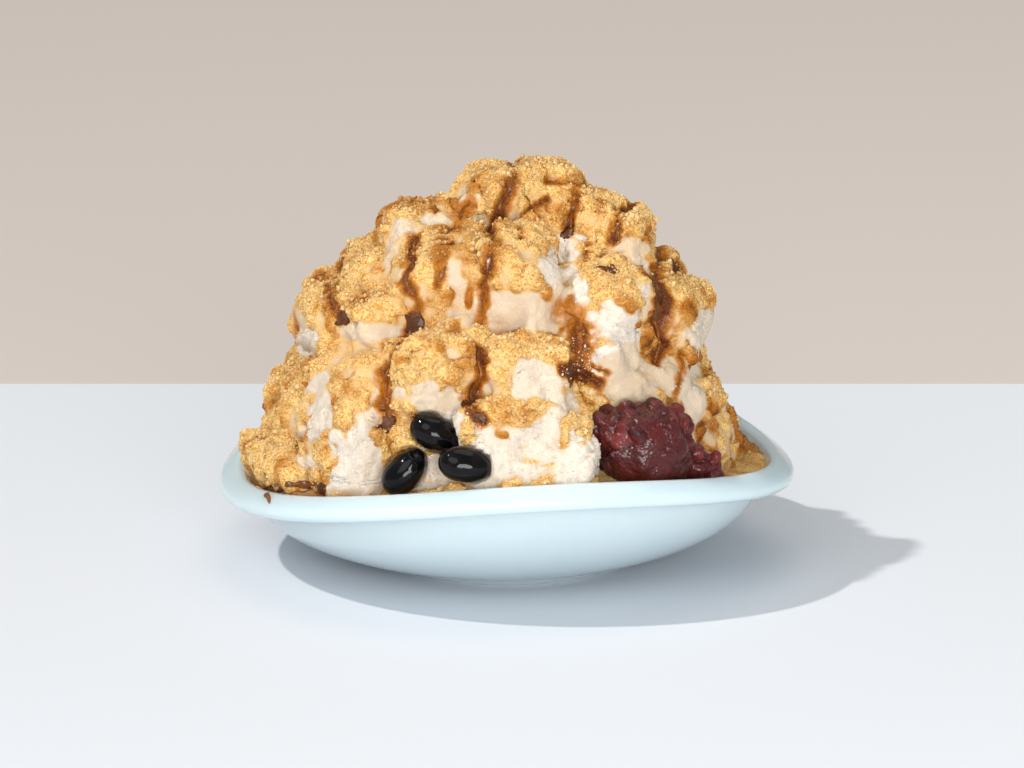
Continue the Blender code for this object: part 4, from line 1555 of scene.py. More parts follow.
HEAPED_PLACES = (
    # crown
    Heaped(5.75, 124.75, 22.25, 5.75, 0.45),
    Heaped(12.5, 114.5, 8.5, 6.5, 0.4),
    Heaped(-5, 113, 6, 4, 0.3),
    Heaped(39.5, 111.75, 10.5, 4.75, 0.45),
    Heaped(31, 104.5, 7, 3.5, 0.35),
    # left shoulder
    Heaped(-31.5, 113.5, 9.5, 3.5, 0.3),
    Heaped(-47, 101, 7, 5, 0.4),
    Heaped(-59.5, 90.5, 9.5, 10.5, 0.4),
    Heaped(-41, 88, 7, 4, 0.25),
    Heaped(-18, 94, 10, 6, 0.2),
    # centre and right
    Heaped(4, 92, 10, 4, 0.2),
    Heaped(36, 89, 11, 7, 0.35),
    Heaped(59, 92, 10, 12, 0.4),
    Heaped(-24, 65.5, 14, 8.5, 0.45),
    Heaped(8, 68.5, 12, 5.5, 0.5),
    Heaped(5, 47, 14, 5, 0.45),
    Heaped(-44.5, 53.5, 12.5, 9.5, 0.25),
    # foot
    Heaped(-36, 38.5, 8, 4.5, 0.45),
    Heaped(-73, 59.5, 5, 6.5, 0.45),
    Heaped(-81, 37.5, 7, 14.5, 0.4),
    Heaped(-72, 29, 12, 7, 0.35),
    Heaped(9.5, 24.5, 7.5, 3.5, 0.5),
    Heaped(-8.5, 26, 4.5, 5, 0.45),
    Heaped(68.5, 54, 5.5, 10, 0.45),
    Heaped(28.5, 53, 4.5, 7, 0.2),
)


class Pour(NamedTuple):
    """A pour of syrup: its half width, how strongly it shows and its places from top to bottom."""

    half_width: float
    strength: float
    places: tuple[Span, ...]


POURS = (
    Pour(
        1.4,
        0.95,
        ((3.2, 126.2), (-0.5, 118.2), (-4.2, 109.6), (-4.8, 98.6), (-7.5, 90.9), (-7.5, 81.3), (-9, 75)),
    ),
    Pour(1.5, 0.75, ((-12, 116.5), (-16.5, 110.2), (-20.8, 104.5), (-21.5, 97.2), (-22.8, 88.6))),
    Pour(
        1.3,
        0.95,
        ((-30.8, 104), (-30.8, 97.6), (-34.4, 88.6), (-28.8, 84.3), (-30.8, 76.3), (-33.8, 71.3)),
    ),
    Pour(1.7, 0.95, ((-34.5, 69), (-38.8, 61.6), (-40.4, 55.3), (-38.8, 43))),
    Pour(1.3, 0.8, ((-52.7, 99.2), (-54.4, 92.6), (-56, 87.6), (-55.4, 78.9))),
    Pour(1.5, 0.95, ((-9.8, 67.6), (-8.5, 60.3), (-10.5, 53), (-12.8, 49.3), (-9.1, 44.3))),
    Pour(0.8, 0.8, ((12.8, 117.5), (4.8, 111.9), (4.8, 104.2))),
    Pour(1.2, 0.9, ((22.5, 119.2), (22.1, 113.9), (20.5, 106.9))),
    Pour(1.1, 0.95, ((43.4, 115.9), (38.1, 113.2), (36.1, 109.9), (36.1, 104.2))),
    Pour(1.1, 0.8, ((27.1, 101.6), (25.8, 96.2))),
    Pour(2.6, 0.8, ((20.5, 80.6), (25.2, 75.3), (24.5, 66.3), (21.8, 60))),
    Pour(
        1.7,
        1,
        ((51.1, 104.9), (50.1, 96.2), (48.7, 85.2), (48.7, 80), (51.1, 73), (50.1, 67.6), (49.1, 62.5)),
    ),
    Pour(3, 1.15, ((49, 88.5), (50.2, 82.5), (49.2, 76.5))),
    Pour(1.6, 1.1, ((19, 60.5), (24, 59), (30, 57.2))),
    Pour(1, 1, ((45, 118), (42, 115), (38.8, 112.5), (37, 109.5), (36.6, 104))),
    Pour(1.4, 0.9, ((-62, 94.5), (-60, 89), (-57.5, 84), (-56, 80))),
    Pour(1.2, 0.75, ((58.4, 65.6), (58, 59.6), (55.7, 54))),
    Pour(1.2, 0.8, ((60, 98.5), (56, 95.5), (54, 92.5))),
    Pour(1.2, 0.6, ((70, 83), (70.5, 77.5))),
    Pour(0.8, 0.9, ((29, 62), (33.5, 60))),
    Pour(0.9, 0.7, ((13, 123.5), (28, 121.5), (32, 118.5))),
    Pour(0.8, 0.7, ((-10, 123), (-7, 119.5))),
)


SPILLS = (
    Pour(2.1, 0.95, ((-81.3, 21.2), (-77, 22.8), (-70, 22.2), (-64, 23), (-59, 20.5))),
    Pour(1.4, 0.9, ((-79, 21.8), (-75.5, 20.6), (-69, 20.2), (-64, 21.2))),
    Pour(2.6, 0.9, ((-80, 21.2), (-79.7, 19.2), (-79, 16.4))),
)


class Pool(NamedTuple):
    """A dark glossy spot of syrup: its middle and radius."""

    right: float
    up: float
    radius: float


POOLS = (
    Pool(-30.8, 76.3, 3.9),
    Pool(-55.4, 78.9, 3.5),
    Pool(-12.8, 49.3, 2.9),
    Pool(34.1, 95.2, 3.6),
    Pool(20.5, 106.9, 3.1),
    Pool(21.8, 59.7, 3.9),
    Pool(49.7, 86, 4.4),
    Pool(-40, 44, 3.6),
    Pool(-8.8, 44.5, 2.6),
    Pool(56, 95.5, 2.6),
    Pool(-61.3, 21, 2.6),
)


# ---- lines of syrup


class Line(NamedTuple):
    """A line of syrup on the heap: its points, its half width and how strongly it shows."""

    points: Array
    half_width: float
    strength: float


@dataclass
class SyrupPaths:
    """The lines that the syrup follows over the heap, at the front by sight, at the back by rule.

    The spacing and the waves of the front ones are in millimetres of the picture.
    """

    spacing: float = 0.8
    smoothing: int = 6
    wave: float = 0.5
    wave_rate: float = 0.7
    wave_offset: float = 3.0
    front_limit: float = 0.02
    least_points: int = 3
    rear_count: int = 7
    rear_from: float = math.radians(15)
    rear_to: float = math.radians(170)
    rear_shift: Span = (0.2, 0.8)
    rear_top: Span = (0.085, 0.120)
    rear_foot: float = 0.052
    rear_steps: int = 54
    rear_drop: float = 0.0085 / 6
    rear_sway: float = 0.02
    rear_end_chance: float = 0.02
    rear_least_points: int = 9
    rear_half_width: Span = (0.0010, 0.0019)
    rear_strength: Span = (0.7, 1.0)
    rear_seed: int = 31
    cast_from: float = 0.15

    def rounded(self, values: Array) -> Array:
        """Rounds off the corners of a line, and keeps its ends.

        Args:
            values: One of its coordinates, from end to end.

        Returns:
            The rounded values.
        """
        for _ in range(self.smoothing):
            inner = (values[:-2] + 2 * values[1:-1] + values[2:]) / 4
            values = np.concatenate([values[:1], inner, values[-1:]])
        return values

    def front(self, tree: BVHTree, pours: Sequence[Pour]) -> list[Line]:
        """The pours at the front, cast along the line of sight onto a surface.

        Args:
            tree: The surface.
            pours: The pours.

        Returns:
            Their lines.
        """
        lines = []
        for pour in pours:
            places = np.array(pour.places)
            steps = np.linalg.norm(np.diff(places, axis=0), axis=1)
            length = np.concatenate([[0.0], np.cumsum(steps)])
            along = np.linspace(0.0, length[-1], max(int(length[-1] / self.spacing), 4))
            right = np.interp(along, length, places[:, 0])
            up = np.interp(along, length, places[:, 1])
            right += self.wave * np.sin(along * self.wave_rate + places[0, 0] * self.wave_offset)
            cast = [SIGHT.cast(tree, *place)[0] for place in zip(self.rounded(right), self.rounded(up))]
            points = [point for point in cast if point is not None and point.y < self.front_limit]
            if len(points) >= self.least_points:
                lines.append(Line(np.array(points), pour.half_width * MM, pour.strength))
        return lines

    def rear(self, tree: BVHTree) -> list[Line]:
        """The pours at the back and sides, which run down the heap from its crown.

        Args:
            tree: The heap's skin.

        Returns:
            Their lines.
        """
        draw = np.random.default_rng(self.rear_seed)
        lines = []
        for number in range(self.rear_count):
            share = (number + draw.uniform(*self.rear_shift)) / self.rear_count
            azimuth = self.rear_from + (self.rear_to - self.rear_from) * share
            height = draw.uniform(*self.rear_top)
            points = []
            for _ in range(self.rear_steps):
                azimuth += draw.uniform(-self.rear_sway, self.rear_sway)
                out = Vector((math.cos(azimuth), math.sin(azimuth), 0.0))
                place, _, _, _ = tree.ray_cast(Vector((0.0, 0.0, height)) + out * self.cast_from, -out)
                if place is not None:
                    points.append(place)
                height -= self.rear_drop
                if height < self.rear_foot or draw.uniform() < self.rear_end_chance:
                    break
            if len(points) >= self.rear_least_points:
                half_width = draw.uniform(*self.rear_half_width)
                lines.append(Line(np.array(points), half_width, draw.uniform(*self.rear_strength)))
        return lines


# ---- heap of shaved ice


@dataclass
class Dusting:
    """Where flour, damp flour and clean ice show on the heap, with shade painted in as damp flour."""

    wide: Noise = Noise(0.015, 41)
    narrow: Noise = Noise(0.0065, 42)
    tiny: Noise = Noise(0.0030, 43)
    streak: Noise = Noise(0.0050, 45)
    streak_squeeze: Triple = (1.0, 1.0, 0.35)
    patch_shares: tuple[float, float, float, float] = (0.18, 0.38, 0.34, 0.34)
    edge_shares: Span = (0.35, 0.25)
    seen_facing: Ramp = Ramp(-0.25, 0.10)
    seen_forward: Ramp = Ramp(0.03, 0.0)
    flour_mean: float = 0.50
    flour_on_top: float = 0.32
    flour_limit: float = 1.2
    clean_mean: float = 0.15
    clean_patches: float = 0.35
    clean_rear: float = 0.30
    clean_rear_low: float = 0.45
    clean_low: Ramp = Ramp(0.080, 0.045)
    rearward: Ramp = Ramp(0.0, 0.02)
    bare_steep: float = 0.22
    steep: Ramp = Ramp(0.35, -0.15)
    bare_low: float = 0.30
    low: Ramp = Ramp(0.060, 0.035)
    bare_edge: Ramp = Ramp(0.55, 1.45)
    bare_depth: float = 0.95
    bare_from: float = 0.15
    bare_keeps: float = 0.3
    ledge: Ramp = Ramp(0.55, 0.85)
    ledge_keeps: float = 0.6
    heaped_edge: Ramp = Ramp(0.6, 1.4)
    heaped_depth: float = 0.55
    # Damp flour: partly real soaked patches, partly painted shade on the flank, in creases and under
    # overhangs.
    damp_noise: Noise = Noise(0.008, 46)
    damp_and_painted_shade_shares: tuple[float, float, float, float, float] = (0.12, 0.38, 0.26, 0.30, 0.42)
    # Painted shade: the steep right flank, away from the key light, is darkened as if damp.
    right_side_painted_shade: Ramp = Ramp(0.022, 0.056)
    painted_shade_on_steep: Ramp = Ramp(0.8, 0.0)
    # Painted shade on faces that look down, under overhangs.
    painted_under_shade: float = 0.22
    under: Ramp = Ramp(0.1, -0.5)
    damp_flour: Ramp = Ramp(0.20, 0.55)

    def seen(self, points: Array, normals: Array) -> Array:
        """How far points lie on the side that the viewer sees.

        Args:
            points: Places, one per row.
            normals: The way the skin faces there.

        Returns:
            One value from 0 to 1 for each point.
        """
        to_eye = SIGHT.eye() - points
        to_eye /= np.linalg.norm(to_eye, axis=1)[:, None]
        facing = np.einsum("ij,ij->i", normals, to_eye)
        return self.seen_facing.at(facing) * self.seen_forward.at(points[:, 1])

    @staticmethod
    def inside(picture: Array, place: Bare | Heaped, wobble: Array, edge: Ramp) -> Array:
        """How far points lie inside a place in the picture.

        Args:
            picture: The points' places in the picture.
            place: The place.
            wobble: How much its edge is bent at each point.
            edge: How softly it ends.

        Returns:
            One value from 0 to 1 for each point.
        """
        across = (picture[:, 0] - place.right) / place.half_width
        along = (picture[:, 1] - place.up) / place.half_height
        return 1.0 - edge.at(np.hypot(across, along) + wobble)

    def marks(self, points: Array, normals: Array, soak: Array, crease: Array) -> Marks:
        """The marks that the heap's material reads.

        Args:
            points: Points of the skin, one per row.
            normals: The way the skin faces there.
            soak: How much syrup has soaked in there.
            crease: How deep in a crease each point lies.

        Returns:
            The marks of flour, syrup and clean ice, by name; the syrup mark also holds painted shade.
        """
        picture = SIGHT.picture(points)
        seen = self.seen(points, normals)
        up = normals[:, 2]
        wide, narrow, tiny = self.wide.at(points), self.narrow.at(points), self.tiny.at(points)
        streak = self.streak.at(points * np.array(self.streak_squeeze))
        patchy = sum(share * noise for share, noise in zip(self.patch_shares, (wide, narrow, tiny, streak)))
        flour = self.flour_mean + self.flour_on_top * up + patchy
        rear_clean = self.clean_rear + self.clean_rear_low * self.clean_low.at(points[:, 2])
        clean = self.clean_mean + self.clean_patches * wide + rear_clean * self.rearward.at(points[:, 1])
        clean = np.clip(clean, 0.0, 1.0)
        rear = flour - self.bare_steep * self.steep.at(up) - self.bare_low * self.low.at(points[:, 2])
        front = flour
        wobble = self.edge_shares[0] * narrow + self.edge_shares[1] * tiny
        off_ledges = 1.0 - self.ledge_keeps * self.ledge.at(up)
        for place in BARE_PLACES:
            share = place.bare * self.inside(picture, place, wobble, self.bare_edge)
            front = front - self.bare_depth * share * off_ledges
            cleared = np.maximum(clean * self.bare_keeps, place.clean)
            clean = np.where(share * seen > self.bare_from, cleared, clean)
        for place in HEAPED_PLACES:
            share = self.inside(picture, place, wobble, self.heaped_edge)
            front = front + self.heaped_depth * place.heaped * share
        flour = front * seen + rear * (1.0 - seen)
        # Painted shade on the steep right flank, darkened as damp flour.
        painted_flank_shade = self.right_side_painted_shade.at(points[:, 0]) * self.painted_shade_on_steep.at(up)
        # Painted shade in the creases between the lumps, darkened as damp flour; the plain share and the
        # noises are real damp patches.
        causes = (1.0, self.damp_noise.at(points), tiny, painted_flank_shade, crease)
        damp = sum(share * cause for share, cause in zip(self.damp_and_painted_shade_shares, causes))
        # Painted shade under overhangs, on faces that look down, darkened as damp flour.
        damp = (damp + self.painted_under_shade * self.under.at(up)) * self.damp_flour.at(flour)
        # The soak mark carries the real syrup and damp flour together with the painted shade of the flank,
        # the creases and the undersides.
        return {
            "flour": np.clip(flour, 0.0, self.flour_limit),
            "soak": np.clip(np.maximum(soak, damp), 0.0, 1.0),
            "clean": np.clip(clean, 0.0, 1.0),
        }


@dataclass
class Heap:
    """The heap of shaved ice as a fine skin, with marks for flour, syrup with painted shade, and clean ice.
    """

    form: HeapForm
    dusting: Dusting
    grid: int = 56
    low_share: float = 0.14
    longest_edge: float = 0.00112
    longest_rear_edge: float = 0.00185
    rear_from: float = 0.004
    split_above: float = 0.035
    splits: int = 3
    rise: Ramp = Ramp(0.026, 0.034)
    squash: Triple = (1.0, 1.0, 0.75)
    bend: float = 0.0024
    bend_cell: float = 0.0070
    bend_seeds: Seeds = (57, 58, 59)
    fine_bend: float = 0.0010
    fine_bend_cell: float = 0.0026
    fine_bend_seeds: Seeds = (67, 68, 69)
    scallop: Lumps = Lumps(0.0024, 0.0062, 55)
    fine_scallop: Lumps = Lumps(0.0012, 0.0031, 56)
    scallop_level: float = 0.65
    scalloped: Noise = Noise(0.013, 60)
    scalloped_where: Ramp = Ramp(-0.5, 0.4)
    crease: Ramp = Ramp(0.45, 0.0)
    fine_crease: Ramp = Ramp(0.40, 0.0)
    fine_crease_share: float = 0.6
    halo: Ramp = Ramp(0.5, 3.1)
    halo_reach: float = 0.008
    halo_edge: Noise = Noise(0.003, 61)
    halo_edge_share: float = 0.5
    halo_patches: Noise = Noise(0.0065, 62)
    halo_mean: float = 0.85
    halo_patch_share: float = 0.35
    coarse_share: float = 0.35
    floury: Ramp = Ramp(0.50, 0.90)
    icy: Ramp = Ramp(0.35, 0.05)
    grain: float = 0.00030
    grain_noise: Noise = Noise(0.0020, 51)
    grain_everywhere: float = 0.35
    soft: float = 0.0007
    soft_noise: Noise = Noise(0.0055, 52)
    lump: Lumps = Lumps(0.0009, 0.0036, 53)
    small_lump: Lumps = Lumps(0.0008, 0.0020, 54)
    crystal: Lumps = Lumps(0.0007, 0.0022, 63)
    soaked: Ramp = Ramp(0.3, 0.8)
    soaked_flattens: float = 0.8
    cover: float = 0.0006
    groove: float = 0.0005
    room_for_scallops: float = 0.6
    room_for_grains: float = 0.7

    def directions(self) -> Mesh:
        """Directions from the heap's centre to its skin, spread from a cube's grid.

        Returns:
            The directions, and the skin's faces.
        """
        work = bmesh.new()
        bmesh.ops.create_cube(work, size=2.0)
        bmesh.ops.subdivide_edges(work, edges=work.edges, cuts=self.grid - 1, use_grid_fill=True)
        directions = np.tan(np.array([vertex.co for vertex in work.verts]) * math.pi / 4)
        directions /= np.linalg.norm(directions, axis=1)[:, None]
        split = 2 * self.low_share - 1.0
        rise = directions[:, 2]
        moved = np.where(rise < split, (rise - split) / (split + 1.0), (rise - split) / (1.0 - split))
        level = np.sqrt(np.maximum(1.0 - moved**2, 0.0) / np.maximum(1.0 - rise**2, 1e-9))
        directions = np.stack([directions[:, 0] * level, directions[:, 1] * level, moved], axis=1)
        directions /= np.linalg.norm(directions, axis=1)[:, None]
        bmesh.ops.triangulate(work, faces=work.faces)
        faces = np.array([[vertex.index for vertex in face.verts] for face in work.faces])
        work.free()
        return directions, faces

    def is_long(self, edge: bmesh.types.BMEdge) -> bool:
        """Whether an edge above the dish is longer than it may be there, at the front or the back."""
        first, second = (vertex.co for vertex in edge.verts)
        limit = self.longest_edge if first.y < self.rear_from else self.longest_rear_edge
        return edge.calc_length() > limit and first.z + second.z > 2 * self.split_above

    def split_long_edges(self, vertices: Array, faces: Array) -> Mesh:
        """Splits the skin's long edges, so that steep flanks are as fine as the rest.

        Args:
            vertices: The skin's vertices.
            faces: Its triangles.

        Returns:
            The finer skin's vertices and triangles.
        """
        work = bmesh.new()
        mesh = bpy.data.meshes.new("skin")
        mesh.from_pydata(vertices.tolist(), [], faces.tolist())
        work.from_mesh(mesh)
        for _ in range(self.splits):
            long_edges = [edge for edge in work.edges if self.is_long(edge)]
            bmesh.ops.subdivide_edges(work, edges=long_edges, cuts=1)
            bmesh.ops.triangulate(work, faces=[face for face in work.faces if len(face.verts) > 3])
        work.to_mesh(mesh)
        work.free()
        return arrays_out_of(mesh)

    def syrup_mark(self, points: Array, lines: Sequence[Line]) -> Array:
        """How much syrup has soaked in.

        Args:
            points: Points of the skin, one per row.
            lines: The lines of syrup.

        Returns:
            One value from 0 to 1 for each point.
        """
        soak = np.zeros(len(points))
        for line in lines:
            low = line.points.min(axis=0) - self.halo_reach
            high = line.points.max(axis=0) + self.halo_reach
            near = np.nonzero(np.all((points > low) & (points < high), axis=1))[0]
            if len(near) == 0:
                continue
            close = points[near]
            gap = np.linalg.norm(close[:, None, :] - line.points[None, ::2, :], axis=2).min(axis=1)
            reach = line.half_width * (1.0 + self.halo_edge_share * self.halo_edge.at(close))
            halo = line.strength * (1.0 - self.halo.at(gap / reach))
            halo = halo * (self.halo_mean + self.halo_patch_share * self.halo_patches.at(close))
            soak[near] = np.maximum(soak[near], halo)
        return np.clip(soak, 0.0, 1.0)

    def bent(self, points: Array) -> Array:
        """The points drawn out of true, so that lumps on them are ragged and not round."""
        wide = self.bend * drift(points, self.bend_cell, self.bend_seeds)
        narrow = self.fine_bend * drift(points, self.fine_bend_cell, self.fine_bend_seeds)
        return points * np.array(self.squash) + wide + narrow

    def relief(self, points: Array) -> tuple[Array, Array]:
        """The scalloped relief of the broken ice.

        Args:
            points: Points of the skin, one per row.

        Returns:
            How far each point is lifted, and how deep it lies in a crease.
        """
        bent = self.bent(points)
        large = self.scallop.at(bent)
        small = self.fine_scallop.at(bent)
        lift = self.scallop.height * (large - self.scallop_level)
        lift += self.fine_scallop.height * (small - self.scallop_level)
        crease = np.maximum(self.crease.at(large), self.fine_crease_share * self.fine_crease.at(small))
        return self.scalloped_where.at(self.scalloped.at(points)) * lift, crease

    def grains(self, points: Array, marks: Marks, soak: Array) -> Array:
        """How far flour, crystals and grooves of syrup lift or sink the skin.

        Args:
            points: Points of the skin, one per row.
            marks: Its marks.
            soak: How much syrup has soaked in.

        Returns:
            One distance for each point.
        """
        floury = self.floury.at(marks["flour"])
        icy = self.icy.at(marks["flour"]) * marks["clean"]
        lift = self.grain * (self.grain_everywhere + icy + floury) * self.grain_noise.at(points)
        lift += self.soft * self.soft_noise.at(points)
        lumpy = floury * (1.0 - self.soaked_flattens * self.soaked.at(soak))
        bent = self.bent(points)
        for share, lumps in ((lumpy, self.lump), (lumpy, self.small_lump), (icy, self.crystal)):
            lift += share * lumps.height * lumps.at(bent)
        return lift + self.cover * floury - self.groove * soak

    def kept_clear(self, lift: Array, points: Array, share: float) -> Array:
        """The lift, held to a share of the room that the beans and the paste leave."""
        room = self.form.topping_distance(points) - self.form.topping_gap
        return np.minimum(lift, np.maximum(room, 0.0) * share)

    def build(self, paths: SyrupPaths, material: Material) -> tuple[Piece, Skin, list[Line]]:
        """Makes the heap.

        Args:
            paths: The lines that the syrup follows.
            material: Ice and flour.

        Returns:
            The piece, its skin, for what lies on it, and the lines of syrup.
        """
        directions, faces = self.directions()
        vertices = np.array(self.form.centre) + directions * self.form.reach(directions)[:, None]
        tree = Skin(vertices, faces, {}).tree()
        lines = paths.front(tree, POURS) + paths.rear(tree)
        vertices, faces = self.split_long_edges(vertices, faces)
        coarse = skin_normals(vertices, faces)
        above = self.rise.at(vertices[:, 2])
        soak = self.syrup_mark(vertices, lines)
        lift, crease = self.relief(vertices)
        lift = self.kept_clear(lift * above, vertices, self.room_for_scallops)
        vertices = vertices + coarse * lift[:, None]
        normals = skin_normals(vertices, faces)
        facing = self.coarse_share * coarse + (1.0 - self.coarse_share) * normals
        marks = self.dusting.marks(vertices, facing, soak, crease)
        lift = self.kept_clear(self.grains(vertices, marks, soak), vertices, self.room_for_grains)
        vertices = vertices + normals * (lift * above)[:, None]
        piece = mesh_piece("shaved_ice_heap", vertices, faces, material, marks)
        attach(piece, BODY)
        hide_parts("shaved_ice")
        return piece, Skin(vertices, faces, marks), lines


@dataclass
class Bed:
    """The ice and flour that fills the dish round the heap, with painted shade towards its right."""

    dish: Dish
    inner: float = 0.0500
    lap: float = 0.0002
    drop: float = 0.0006
    slope: float = 0.08
    rings: int = 34
    segments: int = 420
    rough: float = 0.0016
    rough_noise: Noise = Noise(0.0085, 6)
    rough_power: float = 6
    grain: float = 0.0005
    grain_noise: Noise = Noise(0.0024, 7)
    fine_grain: float = 0.0003
    fine_noise: Noise = Noise(0.0012, 8)
    sunk: float = 0.010
    gap: float = 0.0003
    flour_mean: float = 0.85
    patch_noise: Noise = Noise(0.016, 44)
    patch_share: float = 0.25
    damp_mean: float = 0.12
    # Painted shade towards the right, away from the key light.
    right_side_painted_shade: Ramp = Ramp(-0.02, 0.06)
    right_side_painted_shade_share: float = 0.20
    damp_noise: Noise = Noise(0.005, 47)
    clean: float = 0.4

    def top_rings(self, azimuth: Array) -> list[Array]:
        """The rings of the uneven top, from the middle outwards.

        Args:
            azimuth: Angles round the dish.

        Returns:
            The points of each ring.
        """
        wall_radius, wall_height = self.dish.wall_top(azimuth)
        rows = []
        for share in np.linspace(0.0, 1.0, self.rings):
            out = self.inner + (wall_radius + self.lap - self.inner) * share
            flat = ring(out, azimuth, np.zeros_like(out))
            height = wall_height - self.drop + self.slope * (wall_radius - out)
            height = height + (1.0 - share**self.rough_power) * self.rough * self.rough_noise.at(flat)
            height = height + self.grain * self.grain_noise.at(flat)
            height = height + self.fine_grain * self.fine_noise.at(flat)
            rows.append(ring(out, azimuth, height))
        return rows

    def build(self, material: Material) -> tuple[Piece, Skin]:
        """Makes the bed as a closed ring.

        Args:
            material: Ice and flour.

        Returns:
            The piece and the skin of its top.
        """
        azimuth = np.linspace(0.0, 2 * math.pi, self.segments, endpoint=False)
        rows = self.top_rings(azimuth)
        _, wall_height = self.dish.wall_top(azimuth)
        shelf_radius, _ = self.dish.shelf(azimuth)
        knee_radius, _ = self.dish.knee(azimuth)
        inner = np.full_like(azimuth, self.inner)
        for out in (shelf_radius, knee_radius, (knee_radius + inner) / 2, inner):
            height = np.maximum(self.dish.inner_surface(out, azimuth) + self.gap, wall_height - self.sunk)
            rows.append(ring(out, azimuth, height))
        vertices = np.concatenate(rows)
        faces = band_faces(len(rows), self.segments, closed=True)[:, [0, 2, 1]]
        patches = self.patch_share * self.patch_noise.at(vertices)
        # Painted shade: the flour is darkened as damp towards the right, away from the key light; the mean
        # and the patches are real damp.
        damp = self.damp_mean + self.right_side_painted_shade_share * self.right_side_painted_shade.at(vertices[:, 0]) + patches
        damp = damp + self.patch_share * self.damp_noise.at(vertices)
        marks = {
            "flour": self.flour_mean + patches,
            "soak": np.clip(damp, 0.0, 1.0),
            "clean": np.full(len(vertices), self.clean),
        }
        piece = mesh_piece("ice_bed", vertices, faces, material, marks)
        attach(piece, BODY)
        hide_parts("shaved_ice")
        top_faces = 2 * (self.rings - 1) * self.segments
        return piece, Skin(vertices, faces[:top_faces], marks)


# ---- syrup


@dataclass
class SyrupFilm:
    """The glossy body of the syrup: flat strips along the pours, and pools."""

    thickness: float = 0.00022
    sunk: float = 0.0004
    around: int = 10
    least_points: int = 5
    least_strength: float = 0.68
    smoothing: int = 3
    stray: float = 0.0006
    stray_cell: float = 0.0032
    stray_seeds: Seeds = (83, 84, 85)
    thin_cell: float = 0.0050
    thin_where: Ramp = Ramp(-0.45, 0.45)
    width_cell: float = 0.0022
    width_shares: tuple[float, float, float] = (0.20, 0.42, 0.42)
    first_seed: int = 80
    end_width: float = 0.25
    end_steps: float = 4.0
    thick_range: Span = (0.05, 0.7)
    pool_noise: Noise = Noise(0.55, 91)
    pool_unevenness: float = 0.45
    pool_squeeze: float = 0.8
    pool_thickness: float = 1.3

    def strip(self, tree: BVHTree, line: Line, number: int) -> tuple[Array, Array, Array] | None:
        """Makes one strip that follows a line over the heap.

        Args:
            tree: The surface that it lies on.
            line: The line of syrup.
            number: The line's number, which varies the strip's width.

        Returns:
            Vertices, faces and the mark of thickness, or None where the line is too short.
        """
        points = line.points.copy()
        count = len(points)
        if count < self.least_points:
            return None
        along = np.gradient(points, axis=0)
        along /= np.maximum(np.linalg.norm(along, axis=1)[:, None], 1e-9)
        for _ in range(self.smoothing):
            points[1:-1] = (points[:-2] + points[1:-1] + points[2:]) / 3
        seeds = [seed + number for seed in self.stray_seeds]
        points = points + self.stray * drift(points, self.stray_cell, seeds)
        thin = self.thin_where.at(Noise(self.thin_cell, self.first_seed + number).at(points))
        uneven = Noise(self.width_cell, self.first_seed + 1 + number).at(points)
        least, level, swing = self.width_shares
        widths = line.half_width * (least + thin * (level + swing * uneven))
        ends = np.minimum(np.arange(count), np.arange(count)[::-1])
        widths = widths * np.minimum(1.0, self.end_width + ends / self.end_steps)
        vertices = []
        for point, way, width in zip(points, along, widths):
            near, normal, _, _ = tree.find_nearest(Vector(point))
            side = Vector(way).cross(normal).normalized()
            for step in range(self.around):
                angle = 2 * math.pi * step / self.around
                foot, facing, _, _ = tree.find_nearest(near + side * (width * math.cos(angle)))
                lift = math.sin(angle)
                vertices.append(foot + facing * (lift * (self.thickness if lift > 0 else self.sunk)))
        last = (count - 1) * self.around
        fan = np.arange(1, self.around - 1)
        first = np.zeros_like(fan)
        faces = [
            band_faces(count, self.around),
            np.stack([first, fan + 1, fan], axis=1),
            np.stack([first, fan, fan + 1], axis=1) + last,
        ]
        thick = np.repeat(self.thick_range[0] + self.thick_range[1] * thin, self.around)
        return np.array(vertices), np.concatenate(faces), thick

    def pool(self, tree: BVHTree, pool: Pool, number: int) -> tuple[Array, Array, Array] | None:
        """Makes one pool as a flat uneven drop that hugs the heap.

        Args:
            tree: The surface that it lies on.
            pool: The pool.
            number: The pool's number, which varies its outline.

        Returns:
            Vertices, faces and the mark of thickness, or None where there is no surface.
        """
        middle, normal = SIGHT.cast(tree, pool.right, pool.up)
        if middle is None:
            return None
        base, faces = ball(3)
        turn = normal.to_track_quat("Z", "Y").to_matrix()
        swell = 1.0 + self.pool_unevenness * self.pool_noise.at(base + number * 5.0)
        vertices = []
        for (x, y, z), wide in zip(base, swell):
            flat = middle + turn @ Vector((x * wide * self.pool_squeeze, y * wide, 0.0)) * (pool.radius * MM)
            foot, facing, _, _ = tree.find_nearest(flat)
            depth = self.thickness * self.pool_thickness if z > 0 else self.sunk
            vertices.append(foot + facing * (z * depth))
        return np.array(vertices), faces, np.full(len(base), 1.0)

    def build(
        self, skins: Sequence[Skin], lines: Sequence[Line], paths: SyrupPaths, material: Material
    ) -> Piece:
        """Makes all the syrup as one piece.

        Args:
            skins: The surfaces that it lies on.
            lines: The lines of syrup on the heap.
            paths: What finds the lines of the spills on the lip.
            material: The syrup.

        Returns:
            The piece.
        """
        vertices, faces = joined([(skin.vertices, skin.faces) for skin in skins])
        tree = Skin(vertices, faces, {}).tree()
        parts = [
            self.strip(tree, line, number)
            for number, line in enumerate([*lines, *paths.front(tree, SPILLS)])
            if line.strength > self.least_strength
        ]
        parts += [self.pool(tree, pool, number) for number, pool in enumerate(POOLS)]
        parts = [part for part in parts if part is not None]
        vertices, faces = joined([part[:2] for part in parts])
        marks = {"thick": np.concatenate([part[2] for part in parts])}
        piece = mesh_piece("syrup", vertices, faces, material, marks)
        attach(piece, BODY)
        return piece


# ---- flour and flakes


